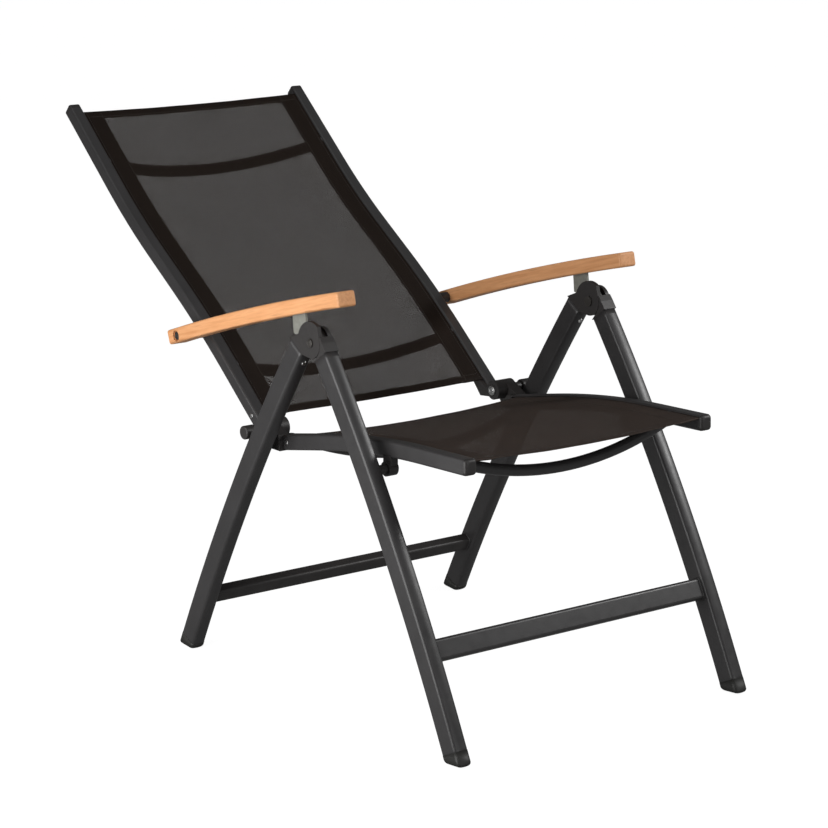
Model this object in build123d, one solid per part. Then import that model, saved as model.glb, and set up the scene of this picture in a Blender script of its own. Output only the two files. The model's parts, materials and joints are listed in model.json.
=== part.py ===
"""Reclining garden armchair: a folding frame with sling seat and back, and two wooden armrests.

Millimetres. +Z is up and the floor is Z = 0. The chair faces -Y and its own left side is +X.
The model is drawn with Y measured from the top leg hinge, and moved at the end so that the origin
lies under the middle of its box. The left side is drawn, and the right side is its mirror image.
"""
from build123d import *
import math
import os

# Widths across the chair
sling_span = 442.0
rail_width = 22.0
rail_leg_gap = 22.0
leg_width = 25.0
arm_width = 33.3
arm_overlap = 3.5

# Legs, seen from the side
hinge_height = 577.0
front_foot_reach = 351.6
front_top_lead = 10.1
front_leg_bow = 16.1
front_leg_stop = 23.2
rear_foot_reach = 370.9
rear_top_lag = 31.5
rear_leg_bow = 13.5
rear_leg_stop = 13.0
leg_depth = 38.0
leg_corner = 6.0
leg_wall = 1.8
foot_cap_height = 21.0
foot_cap_wall = 1.5
foot_cap_floor = 4.0

# Crossbars between the legs
crossbar_depth = 20.0
crossbar_corner = 5.0
crossbar_wall = 1.5
front_crossbar_height = 153.5
front_crossbar_face = 34.0
rear_crossbar_height = 98.5
rear_crossbar_face = 25.0

# Seat and back rails with their bead channel
rail_wall = 1.6
rail_corner = 4.0
seat_rail_depth = 25.0
back_rail_depth = 22.0
channel_radius = 2.2
channel_inset = 4.0
channel_sink = 3.5
channel_wall = 1.3
seat_reach = 499.35
seat_front_rise = 36.09
seat_heading = -2.0
seat_flat_run = 107.0
seat_bend_run = 250.0
seat_bend_turn = -8.8
seat_tail_run = 105.0
back_heading = 39.9
back_low_run = 131.0
back_hollow_run = 184.0
back_hollow_turn = -6.2
back_middle_run = 83.0
back_head_run = 159.0
back_head_turn = 7.4
back_top_run = 168.0

# Bowed tubes under the fabric
back_tube_diameter = 20.0
seat_tube_diameter = 18.0
tube_wall = 1.5
back_tube_bow = 41.3
seat_tube_bow = 44.0
upper_tube_place = 606.0
lower_tube_place = 127.6
front_tube_place = 68.0
rear_tube_place = 418.0

# Fabric
fabric_thickness = 1.2
bead_radius = 1.9
side_hem_width = 32.0
end_hem_width = 15.0
back_sag = 5.0
seat_sag = 8.0
back_fabric_start = 17.0
back_fabric_margin = 8.0
seat_fabric_margin = 1.0
seat_fabric_tail = 13.0

# Pivots
seat_pivot_drop = 177.0
back_hinge_drop = 190.8
back_hinge_lead = 19.4
back_hinge_rise = 21.8
arm_pivot_place = 205.75
arm_pivot_drop = 1.0
arm_rear_reach = 25.3
arm_front_lead = 79.0
arm_front_rise = 79.0
arm_pin_reach = 345.0
arm_pin_drop = 3.5

# Armrests
arm_thickness = 24.0
arm_bow = 6.0
arm_corner = 4.0
arm_edge_round = 3.5
arm_recess_radius = 9.0
arm_recess_depth = 5.0
groove_width = 17.0
groove_start = 225.0
groove_end = 400.0
rack_thickness = 4.6
rack_notch_radius = 2.6
rack_notch_pitch = 14.0
rack_rise = 2.0

# Top leg hinge
knuckle_radius = 24.0
knuckle_hump_radius = 33.0
hump_start_angle = 17.0
hump_end_angle = 123.0
knuckle_gap = 0.8
nose_reach = 15.0
cheek_width = 6.7
tongue_width = 6.8
tongue_radius = 20.0
tongue_neck = 14.0
layer_gap = 0.2
bracket_thickness = 4.0
web_radius = 26.0
web_start_angle = -41.0
web_end_angle = -5.0
plug_length = 34.0
leg_fold_angle = 58.6
hinge_bolt_radius = 4.0
hinge_head_radius = 7.0
hinge_head_height = 2.5
hinge_ring_radius = 8.5
bracket_front = 16.5
bracket_rear = 17.5
bracket_pin_radius = 3.0
bracket_pin_length = 14.0
bracket_foot_radius = 13.0
bracket_eye_wall = 1.0

# Seat pivot
lug_radius = 11.5
lug_width = 17.0
lug_start = 8.5
lug_neck_depth = 20.0
lug_neck_inset = 9.0
pivot_pin_radius = 5.0
pivot_head_radius = 8.0
pivot_head_height = 3.0
bush_wall = 1.5
pivot_spacer_radius = 7.5

# Back hinge on the seat
eye_radius = 16.0
eye_width = 19.0
eye_inset = 8.0
ear_width = 19.7
axle_radius = 5.0
axle_head_radius = 8.0
axle_head_height = 3.7
roller_radius = 11.0
roller_width = 20.0
roller_leg_lap = 18.0
roller_round = 2.0
roller_cover = 3.0
axle_neck_radius = 7.5
ear_drop = 13.5
ear_collar_run = 21.0
eye_collar_run = 3.0

# Arm pivot
arm_bolt_radius = 4.0
arm_bolt_head_radius = 7.0
arm_bolt_head_height = 3.0
arm_spacer_radius = 9.0
arm_nut_radius = 5.5
arm_nut_height = 5.0

# End caps and rivets
top_cap_height = 10.0
top_cap_round = 3.6
seat_cap_height = 6.0
seat_cap_round = 3.0
cap_plug_length = 14.0
rivet_radius = 2.0
rivet_head_radius = 4.0
rivet_head_height = 1.6
rivet_length = 6.0
rivet_seat_depth = 0.2
back_rivet_place = 25.0
seat_rivet_margin = 9.0
leg_rivet_place = 22.0

# Clearances
running_fit = 0.05
seat_fit = 0.1
face_gap = 0.3
roller_gap = 0.08

# Places across the chair that follow from the widths
rail_inner_x = sling_span / 2
rail_middle_x = rail_inner_x + rail_width / 2
rail_outer_x = rail_inner_x + rail_width
leg_inner_x = rail_outer_x + rail_leg_gap
leg_middle_x = leg_inner_x + leg_width / 2
leg_outer_x = leg_inner_x + leg_width
arm_inner_x = leg_inner_x - arm_overlap
arm_outer_x = arm_inner_x + arm_width
overrun = leg_depth


class Route:
    """A centreline in the side view: straight runs and tangent arcs, with places given by distance.

    The offset of a place is measured to the right of the way the route goes.
    """

    def __init__(self, start, heading, runs):
        self.start = start
        self.heading = heading
        self.runs = runs
        self.length = sum(length for length, turn in runs)

    @classmethod
    def bowed(cls, start, end, rise):
        """One arc between two points, with its middle pushed to the right by rise."""
        across = end[0] - start[0]
        up = end[1] - start[1]
        chord = math.hypot(across, up)
        turn = 4 * math.atan2(2 * rise, chord)
        length = chord * turn / (2 * math.sin(turn / 2))
        heading = math.degrees(math.atan2(up, across) - turn / 2)
        return cls(start, heading, ((length, math.degrees(turn)),))

    def state(self, distance):
        """Y, Z and heading in radians at a distance from the start, straight on past either end."""
        y, z = self.start
        heading = math.radians(self.heading)
        left = distance
        for length, turn in self.runs:
            if left <= 0:
                break
            step = min(left, length)
            bend = math.radians(turn) * step / length
            chord = step * math.sin(bend / 2) / (bend / 2) if bend else step
            y += chord * math.cos(heading + bend / 2)
            z += chord * math.sin(heading + bend / 2)
            heading += bend
            left -= step
        return y + left * math.cos(heading), z + left * math.sin(heading), heading

    def point(self, distance, offset=0.0):
        y, z, heading = self.state(distance)
        return y + offset * math.sin(heading), z - offset * math.cos(heading)

    def at_height(self, height):
        """The distance at which the route reaches a height."""
        low, high = 0.0, self.length
        rising = self.state(high)[1] > self.state(low)[1]
        for _ in range(60):
            middle = (low + high) / 2
            if (self.state(middle)[1] < height) == rising:
                low = middle
            else:
                high = middle
        return low

    def plane(self, x, distance):
        """The section plane there: its x runs outwards across the chair, its y to the route's right."""
        y, z, heading = self.state(distance)
        return Plane(origin=(x, y, z), x_dir=(1, 0, 0), z_dir=(0, math.cos(heading), math.sin(heading)))

    def wire(self, x, start, end):
        """The route between two distances as a wire at one place across the chair."""
        marks = [start]
        reached = 0
        for length, turn in self.runs:
            marks += [mark for mark in (reached, reached + length) if marks[-1] < mark < end]
            reached += length
        marks.append(end)
        edges = []
        for first, last in zip(marks, marks[1:]):
            middle = (first + last) / 2
            ends = [(x, *self.point(place)) for place in (first, last)]
            bent = abs(self.state(first)[2] - self.state(last)[2]) > 0
            edges.append(ThreePointArc(ends[0], (x, *self.point(middle)), ends[1]) if bent else Line(*ends))
        return Wire(edges)

    def member(self, x, start, end, section):
        """A solid with one section all along the route between two distances."""
        return sweep(self.plane(x, start) * section, path=self.wire(x, start, end)).solid()


def polygon(*points):
    return make_face(Polyline(*points, close=True))


def disc(centre, radius):
    return Pos(*centre) * Circle(radius)


def around(centre, radius, angle):
    return (centre[0] + radius * math.cos(math.radians(angle)),
            centre[1] + radius * math.sin(math.radians(angle)))


def slab(sketch, start_x, end_x):
    """A side view sketch given its thickness between two places across the chair."""
    plane = Plane(origin=(start_x, 0, 0), x_dir=(0, 1, 0), z_dir=(1, 0, 0))
    return extrude(plane * sketch, amount=end_x - start_x)


def rod(centre, radius, start_x, end_x):
    return slab(disc(centre, radius), start_x, end_x)


def box_section(width, depth, corner, wall=0.0):
    return RectangleRounded(width - 2 * wall, depth - 2 * wall, corner - wall)


def hollow_bar(face, depth, corner, wall, half_length, centre, heading):
    """A straight box tube across the chair, with its face along the leg that it stands on."""
    section = box_section(depth, face, corner) - box_section(depth, face, corner, wall)
    plane = Plane(origin=(-half_length, *centre), x_dir=(0, math.sin(heading), -math.cos(heading)),
                  z_dir=(1, 0, 0))
    return extrude(plane * section, amount=2 * half_length).solid()


def mirrored(shape):
    return mirror(shape, about=Plane.YZ)


# Routes and pivots, side view: Y back from the top leg hinge, Z up from the floor
hinge = (0.0, hinge_height)
front_leg_route = Route.bowed((-front_foot_reach, 0), (-front_top_lead, hinge_height), -front_leg_bow)
rear_leg_route = Route.bowed((rear_foot_reach, 0), (rear_top_lag, hinge_height), rear_leg_bow)
front_leg_end = front_leg_route.length - front_leg_stop
rear_leg_end = rear_leg_route.length - rear_leg_stop
seat_pivot = front_leg_route.point(front_leg_route.at_height(hinge_height - seat_pivot_drop))
back_hinge = rear_leg_route.point(rear_leg_route.at_height(hinge_height - back_hinge_drop),
                                  leg_depth / 2 + roller_gap + roller_radius)
seat_route = Route((back_hinge[0] - seat_reach, back_hinge[1] + seat_front_rise), seat_heading,
                   ((seat_flat_run, 0), (seat_bend_run, seat_bend_turn), (seat_tail_run, 0)))
back_route = Route(Route(back_hinge, back_heading, ()).point(back_hinge_lead, back_hinge_rise), back_heading,
                   ((back_low_run, 0), (back_hollow_run, back_hollow_turn), (back_middle_run, 0),
                    (back_head_run, back_head_turn), (back_top_run, 0)))
arm_pivot = back_route.point(arm_pivot_place, arm_pivot_drop)
arm_front = (-arm_front_lead, hinge_height + arm_front_rise)
arm_heading = math.degrees(math.atan2(arm_front[1] - arm_pivot[1], arm_front[0] - arm_pivot[0]))
arm_route = Route.bowed(Route(arm_pivot, arm_heading, ()).point(-arm_rear_reach),
                        arm_front, arm_bow)
arm_pin = arm_route.point(arm_rear_reach + arm_pin_reach, -arm_pin_drop)


def floor_block(height):
    """All that lies under a height, for cutting the feet level."""
    reach = 2 * (front_foot_reach + rear_foot_reach)
    return Pos(0, 0, height - reach / 2) * Box(reach, reach, reach)


# Legs with their feet

def leg_tube(route, end):
    outer = route.member(leg_middle_x, -overrun, end, box_section(leg_width, leg_depth, leg_corner))
    inner = route.member(leg_middle_x, -overrun, end, box_section(leg_width, leg_depth, leg_corner, leg_wall))
    return (outer - inner - floor_block(foot_cap_floor)).solid()


def foot_cap(route):
    top = route.at_height(foot_cap_height)
    ankle = Route(route.point(top), math.degrees(route.state(top)[2]), ())
    section = box_section(leg_width, leg_depth, leg_corner, -foot_cap_wall)
    cap = ankle.member(leg_middle_x, -2 * overrun, 0, section) - floor_block(0)
    hole = route.member(leg_middle_x, -overrun, top, box_section(leg_width, leg_depth, leg_corner, -seat_fit))
    return (cap - (hole - floor_block(foot_cap_floor))).solid()


def leg_plug(route, end):
    """What a hinge piece pushes into the open end of its leg."""
    section = box_section(leg_width, leg_depth, leg_corner, leg_wall + seat_fit)
    return route.member(leg_middle_x, end - plug_length, end + leg_wall, section)


def leg_corners(route, end):
    """The front and rear corners of a leg's end face in the side view."""
    return route.point(end, -leg_depth / 2), route.point(end, leg_depth / 2)


def rivet(plane):
    """A domed blind rivet seated on a plane whose z points away from the metal."""
    head = plane * extrude(Circle(rivet_head_radius), amount=rivet_head_height)
    rim = head.edges().sort_by(Axis(plane.origin, plane.z_dir))[-1]
    shank = plane * extrude(Circle(rivet_radius), amount=-rivet_length)
    return (fillet(rim, rivet_head_height / 2) + shank).solid()


def rivet_hole(plane):
    return plane * extrude(Circle(rivet_radius + running_fit), amount=-rivet_length - running_fit)


def rivet_seat(plane):
    """A rivet's hole in a bowed leg, with the flat spot that its head lies on."""
    return rivet_hole(plane) + plane * extrude(Circle(rivet_head_radius + running_fit), amount=rivet_head_height)


def leg_rivet_plane(route, end, side):
    """The seat of a rivet on a leg's front (-1) or rear (+1) face, over the plug of its hinge piece."""
    heading = route.state(end - leg_rivet_place)[2]
    face = route.point(end - leg_rivet_place, side * (leg_depth / 2 - rivet_seat_depth))
    return Plane(origin=(leg_middle_x, *face), x_dir=(1, 0, 0),
                 z_dir=(0, side * math.sin(heading), -side * math.cos(heading)))


front_rivet_plane = leg_rivet_plane(front_leg_route, front_leg_end, 1)
rear_rivet_plane = leg_rivet_plane(rear_leg_route, rear_leg_end, -1)


# Top leg hinge: rear cheeks outside, front tongue and arm bracket between them

inner_cheek = (leg_inner_x, leg_inner_x + cheek_width)
outer_cheek = (leg_outer_x - cheek_width, leg_outer_x)
tongue_span = (inner_cheek[1] + face_gap, inner_cheek[1] + face_gap + tongue_width)
bracket_span = (tongue_span[1] + layer_gap, tongue_span[1] + layer_gap + bracket_thickness)


def hinge_bore(start_x, end_x):
    return rod(hinge, hinge_bolt_radius + running_fit, start_x - overrun, end_x + overrun)


def rear_root():
    """The side view of the rear knuckle between the hinge and its leg's end face."""
    front_corner, rear_corner = leg_corners(rear_leg_route, rear_leg_end)
    return polygon(hinge, around(hinge, knuckle_hump_radius, hump_start_angle), rear_corner, front_corner,
                   around(hinge, knuckle_radius, 2 * web_start_angle))


def front_knuckle():
    """Shoulder in the front leg's end, hollowed round the hinge and cut back where the closed rear leg
    comes to lie, with one tongue on the bolt."""
    front_corner, rear_corner = leg_corners(front_leg_route, front_leg_end)
    hollow_radius = knuckle_radius + knuckle_gap
    y, z = front_leg_route.point(front_leg_end)
    nose = front_leg_route.point(front_leg_end + nose_reach, -leg_depth / 2)
    tip = around(hinge, hollow_radius + leg_wall, (hump_end_angle + 180) / 2)
    outline = polygon(front_corner, nose, tip, hinge, rear_corner)
    closed = Pos(*hinge) * Rot(0, 0, -leg_fold_angle) * Pos(-hinge[0], -hinge[1]) * rear_root()
    shoulder = slab(outline - disc(hinge, hollow_radius), leg_inner_x, leg_outer_x)
    shoulder = shoulder + leg_plug(front_leg_route, front_leg_end)
    shoulder -= slab(offset(closed, amount=knuckle_gap), leg_inner_x, leg_outer_x)
    neck_angle = math.degrees(math.atan2(z - hinge[1], y - hinge[0]))
    half = tongue_neck / 2
    neck = polygon(*(Route(hinge, neck_angle, ()).point(reach, side * half)
                     for reach, side in ((0, -1), (0, 1), (hollow_radius + half, 1), (hollow_radius + half, -1))))
    tongue = slab(disc(hinge, tongue_radius) + neck, *tongue_span)
    body = shoulder + tongue - hinge_bore(*tongue_span) - rivet_hole(front_rivet_plane)
    return body.solid()


def rear_knuckle(humped_span, plain_span):
    """Two cheeks round the hinge, one of them with a hump, joined by a web in front of the rear leg's end."""
    far = 2 * knuckle_hump_radius
    hump_angles = (hump_start_angle, (hump_start_angle + hump_end_angle) / 2, hump_end_angle)
    wedge = polygon(hinge, *(around(hinge, far, angle) for angle in hump_angles))
    hump = disc(hinge, knuckle_hump_radius) & wedge
    flank = polygon(hinge, around(hinge, knuckle_hump_radius, hump_end_angle), around(hinge, knuckle_radius, 180))
    root = rear_root()
    plain_cheek = disc(hinge, knuckle_radius) + root
    humped_cheek = plain_cheek + hump + flank
    sector = polygon(hinge, around(hinge, far, web_start_angle), around(hinge, far, web_end_angle))
    web = (root & sector) - disc(hinge, web_radius)
    body = (slab(humped_cheek, *humped_span) + slab(plain_cheek, *plain_span)
            + slab(web, inner_cheek[0], outer_cheek[1]) + leg_plug(rear_leg_route, rear_leg_end))
    return (body - hinge_bore(*inner_cheek) - rivet_hole(rear_rivet_plane)).solid()


def arm_bracket():
    """The flat strut that stands on the hinge bolt and carries the armrest's pin."""
    pin_place = arm_rear_reach + arm_pin_reach
    outline = polygon(arm_route.point(pin_place + bracket_front, -arm_pin_drop),
                      arm_route.point(pin_place - bracket_rear, -arm_pin_drop),
                      (arm_pin[0] + bracket_front - bracket_pin_radius, hinge[1] + bracket_pin_radius * 2),
                      around(hinge, bracket_foot_radius, web_end_angle),
                      around(hinge, bracket_foot_radius, 180),
                      (arm_pin[0] - bracket_front - bracket_pin_radius, hinge[1] + web_radius))
    outline += disc(hinge, bracket_foot_radius) + disc(arm_pin, bracket_pin_radius + bracket_eye_wall)
    plate = slab(outline, *bracket_span)
    pin_hole = rod(arm_pin, bracket_pin_radius, *bracket_span)
    return (plate - hinge_bore(*bracket_span) - pin_hole).solid()


def bracket_pin():
    middle = sum(bracket_span) / 2
    return rod(arm_pin, bracket_pin_radius, middle - bracket_pin_length / 2, middle + bracket_pin_length / 2)


def hinge_bolt():
    shank = rod(hinge, hinge_bolt_radius, leg_inner_x - hinge_head_height, leg_outer_x + layer_gap)
    head = rod(hinge, hinge_head_radius, leg_outer_x + layer_gap, leg_outer_x + layer_gap + hinge_head_height)
    head = fillet(head.faces().sort_by(Axis.X)[-1].edges(), hinge_head_height / 2)
    ring = rod(hinge, hinge_ring_radius, leg_inner_x - layer_gap - hinge_head_height, leg_inner_x - layer_gap)
    return (shank + head + ring).solid()


# Rails with the channel that holds the fabric's bead

def channel_centre(depth):
    """Where the bead lies in a rail's section, out from the section's middle."""
    return -rail_width / 2 + channel_inset, -depth / 2 + channel_sink


def rail_cavity(depth, clearance=0.0):
    """The closed hollow of a rail beside its bead channel."""
    wall = rail_wall + clearance
    across, deep = channel_centre(depth)
    block = channel_radius + channel_wall + clearance
    housing = Pos(across - channel_inset, deep - channel_sink) * Rectangle(
        channel_inset + block, channel_sink + block, align=Align.MIN)
    return box_section(rail_width, depth, rail_corner, wall) - housing


def rail_channel(depth):
    across, deep = channel_centre(depth)
    mouth = fabric_thickness + 2 * face_gap
    opening = Pos(across, deep) * Rectangle(channel_inset + overrun, mouth, align=(Align.MAX, Align.CENTER))
    return Pos(across, deep) * Circle(channel_radius) + opening


def rail(route, depth):
    outer = route.member(rail_middle_x, 0, route.length, box_section(rail_width, depth, rail_corner))
    cavity = route.member(rail_middle_x, 0, route.length, rail_cavity(depth))
    channel = route.member(rail_middle_x, 0, route.length, rail_channel(depth))
    return outer - cavity - channel


def rail_rivet_plane(route, place):
    """The seat of a rivet on the outer face of a rail."""
    return Plane(origin=(rail_outer_x, *route.point(place)), x_dir=(0, 1, 0), z_dir=(1, 0, 0))


def rail_plug(route, depth, start, end):
    return route.member(rail_middle_x, start, end, rail_cavity(depth, seat_fit))


def bowed_tube(route, place, rail_depth, diameter, bow):
    """A round tube from rail to rail under the fabric, bowed away from it."""
    radius = diameter / 2
    top = channel_centre(rail_depth)[1] + fabric_thickness / 2 + face_gap
    half = rail_inner_x
    curve = (half ** 2 + bow ** 2) / (2 * bow)
    reach = half + radius
    lift = curve - math.sqrt(curve ** 2 - reach ** 2)
    middle = top + radius + bow
    across = route.plane(0, place)
    path = Wire([ThreePointArc(*(across.from_local_coords(Vector(*place)) for place in
                                 ((-reach, middle - lift, 0), (0, middle, 0), (reach, middle - lift, 0))))])
    section = Plane(origin=path @ 0, z_dir=path % 0)
    tube = sweep(section * Circle(radius), path=path) - sweep(section * Circle(radius - tube_wall), path=path)
    size = 4 * route.length
    return (tube & Box(2 * half, size, size)).solid()


# Fabric

def fabric_section(rail_depth, sag, thickness, bead):
    """The fabric's section across the chair, sagging between the rails, with a bead along each side."""
    inset = rail_inner_x + channel_inset
    deep = channel_centre(rail_depth)[1]
    half = thickness / 2
    upper = ThreePointArc((-inset, deep - half), (0, deep - half + sag), (inset, deep - half))
    lower = ThreePointArc((inset, deep + half), (0, deep + half + sag), (-inset, deep + half))
    sheet = make_face(Curve() + [upper, lower, Line(upper @ 1, lower @ 0), Line(lower @ 1, upper @ 0)])
    if not bead:
        return sheet & Rectangle(2 * (rail_inner_x - channel_inset), 4 * rail_depth)
    beads = [Pos(side * inset, deep) * Circle(bead_radius) for side in (-1, 1)]
    return sheet + beads


def side_hems(rail_depth, sag):
    whole = fabric_section(rail_depth, sag, 2 * fabric_thickness, False)
    return whole - Rectangle(2 * (rail_inner_x - channel_inset - side_hem_width), 4 * rail_depth)


def sling(route, rail_depth, sag, start, end):
    """The fabric with double side hems and turned end hems, as one piece."""
    cloth = route.member(0, start, end, fabric_section(rail_depth, sag, fabric_thickness, True))
    hems = sweep(route.plane(0, start) * side_hems(rail_depth, sag), path=route.wire(0, start, end))
    doubled = fabric_section(rail_depth, sag, 2 * fabric_thickness, False)
    front = route.member(0, start, start + end_hem_width, doubled)
    back = route.member(0, end - end_hem_width, end, doubled)
    return (cloth + hems + front + back).solid()


# Seat

seat_rivet_plane = rail_rivet_plane(seat_route, seat_route.length - seat_rivet_margin)
ear_start_x = rail_inner_x + eye_width - eye_inset + face_gap
eye_start_x = rail_inner_x - eye_inset


def seat_rail():
    return (rail(seat_route, seat_rail_depth) - rivet_hole(seat_rivet_plane)).solid()


def end_cap(route, depth, at_end, height, rounding):
    """A plastic cap on a rail's open end, with a plug in the rail's hollow."""
    place = route.length if at_end else 0
    side = 1 if at_end else -1
    plane = route.plane(rail_middle_x, place)
    cap = plane * extrude(box_section(rail_width, depth, rail_corner), amount=side * height)
    y, z, heading = route.state(place)
    ahead = Axis((rail_middle_x, y, z), (0, side * math.cos(heading), side * math.sin(heading)))
    cap = fillet(cap.faces().sort_by(ahead)[-1].edges(), rounding)
    start, end = sorted((place + side * rounding, place - side * cap_plug_length))
    return (cap + rail_plug(route, depth, start, end)).solid()


def seat_ear():
    """Rear end of a seat rail: a collar on the rail and an ear outside the back's eye."""
    end = seat_route.length
    half = seat_rail_depth / 2
    top, bottom = seat_route.point(end, -half), seat_route.point(end, half)
    base = bottom[1]
    collar_y = top[0] + ear_collar_run
    collar = polygon(top, bottom, (bottom[0] + rail_wall, base), (collar_y, base),
                     (collar_y, base + ear_drop), (top[0] + ear_collar_run / 2, top[1] - rail_wall))
    ear = disc(back_hinge, eye_radius) + polygon(
        top, bottom, (back_hinge[0] - rail_wall, base), around(back_hinge, eye_radius, -45), back_hinge,
        around(back_hinge, eye_radius, 135))
    body = (slab(collar, rail_inner_x, rail_outer_x) + slab(ear, ear_start_x, ear_start_x + ear_width)
            + rail_plug(seat_route, seat_rail_depth, end - plug_length, end + rail_wall))
    bore = rod(back_hinge, axle_radius + running_fit, rail_inner_x, leg_outer_x)
    return (body - bore - rivet_hole(seat_rivet_plane)).solid()


def pivot_lug():
    """The lug under a seat rail that turns on the seat pivot's pin."""
    start = rail_inner_x + lug_start
    eye = rod(seat_pivot, lug_radius, start, start + lug_width)
    half = lug_neck_depth / 2
    rail_height = seat_route.start[1]
    neck = polygon((seat_pivot[0] - half, seat_pivot[1]), (seat_pivot[0] + half, seat_pivot[1]),
                   (seat_pivot[0] + half, rail_height), (seat_pivot[0] - half, rail_height))
    neck = slab(neck, rail_inner_x + lug_neck_inset, rail_outer_x)
    rail_solid = seat_route.member(rail_middle_x, 0, seat_route.length,
                                   box_section(rail_width, seat_rail_depth, rail_corner))
    hole = rod(seat_pivot, pivot_pin_radius + bush_wall + running_fit, start, start + lug_width)
    return (eye + neck - rail_solid - hole).solids().sort_by(Axis.Z)[0]


def pivot_bush():
    start = rail_inner_x + lug_start
    outer = rod(seat_pivot, pivot_pin_radius + bush_wall, start, start + lug_width)
    return outer - rod(seat_pivot, pivot_pin_radius + running_fit, start, start + lug_width)


def pivot_pin():
    """The seat's pin: a head inboard, the shank, and a flange against the leg's inner wall."""
    start = rail_inner_x + lug_start - face_gap
    wall = leg_inner_x + leg_wall
    shank = rod(seat_pivot, pivot_pin_radius, start, wall + pivot_head_height)
    head = rod(seat_pivot, pivot_head_radius, start - pivot_head_height, start)
    head = fillet(head.faces().sort_by(Axis.X)[0].edges(), pivot_head_height / 3)
    flange = rod(seat_pivot, pivot_head_radius, wall, wall + pivot_head_height)
    return (shank + head + flange).solid()


def pivot_spacer():
    start = rail_inner_x + lug_start + lug_width + face_gap
    sleeve = rod(seat_pivot, pivot_spacer_radius, start, leg_inner_x)
    return (sleeve - rod(seat_pivot, pivot_pin_radius + running_fit, start, leg_inner_x)).solid()


# Back hinge: an axle through the back's eye and the seat's ear, with a roller behind the rear leg

roller_start = leg_outer_x - roller_leg_lap
axle_end = roller_start + roller_width - roller_cover


def axle_bolt():
    head = rod(back_hinge, axle_head_radius, eye_start_x - face_gap - axle_head_height, eye_start_x - face_gap)
    head = fillet(head.faces().sort_by(Axis.X)[0].edges(), axle_head_height / 4)
    return (rod(back_hinge, axle_radius, eye_start_x - face_gap, axle_end) + head).solid()


def axle_roller():
    start = ear_start_x + ear_width + face_gap
    roller = rod(back_hinge, roller_radius, roller_start, roller_start + roller_width)
    roller = fillet(roller.edges().filter_by(GeomType.CIRCLE), roller_round)
    neck = rod(back_hinge, axle_neck_radius, start, roller_start + roller_round)
    return (roller + neck - rod(back_hinge, axle_radius + running_fit, start, axle_end + running_fit)).solid()


# Back

back_rivet_plane = rail_rivet_plane(back_route, back_rivet_place)


def back_rail():
    body = rail(back_route, back_rail_depth) - rivet_hole(back_rivet_plane)
    return (body - rod(arm_pivot, arm_bolt_radius + running_fit, rail_middle_x, rail_outer_x + overrun)).solid()


def back_eye():
    """Lower end of a back rail: a plug in the rail and an eye inboard of the seat's ear."""
    half = back_rail_depth / 2
    front, rear = back_route.point(-eye_collar_run, -half), back_route.point(-eye_collar_run, half)
    collar = polygon(front, rear, back_route.point(0, half), back_route.point(0, -half))
    web = polygon(around(back_hinge, eye_radius, back_heading + 90), back_hinge,
                  around(back_hinge, eye_radius, back_heading - 90), rear, front)
    tail = polygon(front, rear, back_route.point(back_rivet_place, half - rail_corner),
                   back_route.point(back_rivet_place, -half + 2 * channel_sink + channel_wall))
    eye = disc(back_hinge, eye_radius) + web
    body = (slab(eye, eye_start_x, eye_start_x + eye_width) + slab(collar, rail_inner_x, rail_outer_x)
            + slab(tail + eye, eye_start_x, rail_inner_x)
            + rail_plug(back_route, back_rail_depth, -rail_wall, back_rivet_place + cap_plug_length))
    bore = rod(back_hinge, axle_radius + running_fit, eye_start_x - overrun, rail_outer_x)
    return (body - bore - rivet_hole(back_rivet_plane)).solid()


# Armrests

def arm_bolt():
    """From a nut inside the back rail, through the spacer and the armrest, to a sunk head."""
    seat_x = arm_outer_x - arm_recess_depth
    inside = rail_outer_x - rail_wall
    head = rod(arm_pivot, arm_bolt_head_radius, seat_x, seat_x + arm_bolt_head_height)
    head = fillet(head.faces().sort_by(Axis.X)[-1].edges(), arm_bolt_head_height / 3)
    nut = rod(arm_pivot, arm_nut_radius, inside - arm_nut_height, inside)
    return (rod(arm_pivot, arm_bolt_radius, inside, seat_x) + head + nut).solid()


def arm_spacer():
    start, end = rail_outer_x + face_gap, arm_inner_x - face_gap
    return rod(arm_pivot, arm_spacer_radius, start, end) - rod(arm_pivot, arm_bolt_radius + running_fit, start, end)


groove_top = rack_rise + rack_thickness


def armrest():
    """The wooden board with its bolt hole, sunk outside, and the groove along its underside."""
    half = arm_thickness / 2
    end = arm_route.length
    lower = ThreePointArc(*(arm_route.point(share * end, -half) for share in (0, 1 / 2, 1)))
    upper = ThreePointArc(*(arm_route.point(share * end, half) for share in (0, 1 / 2, 1)))
    profile = make_face(Curve() + [lower, upper, Line(lower @ 0, upper @ 0), Line(lower @ 1, upper @ 1)])
    profile = fillet(profile.vertices(), arm_corner)
    board = slab(profile, arm_inner_x, arm_outer_x)
    rims = board.faces().filter_by(Axis.X).edges()
    board = fillet(rims, arm_edge_round)
    middle = sum(bracket_span) / 2
    groove = Pos(0, groove_top - arm_thickness) * Rectangle(groove_width, arm_thickness,
                                                           align=(Align.CENTER, Align.MIN))
    board -= arm_route.member(middle, arm_rear_reach + groove_start, arm_rear_reach + groove_end, groove)
    board -= rod(arm_pivot, arm_bolt_radius + running_fit, arm_inner_x, arm_outer_x)
    board -= rod(arm_pivot, arm_recess_radius, arm_outer_x - arm_recess_depth, arm_outer_x)
    return board.solid()


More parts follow.
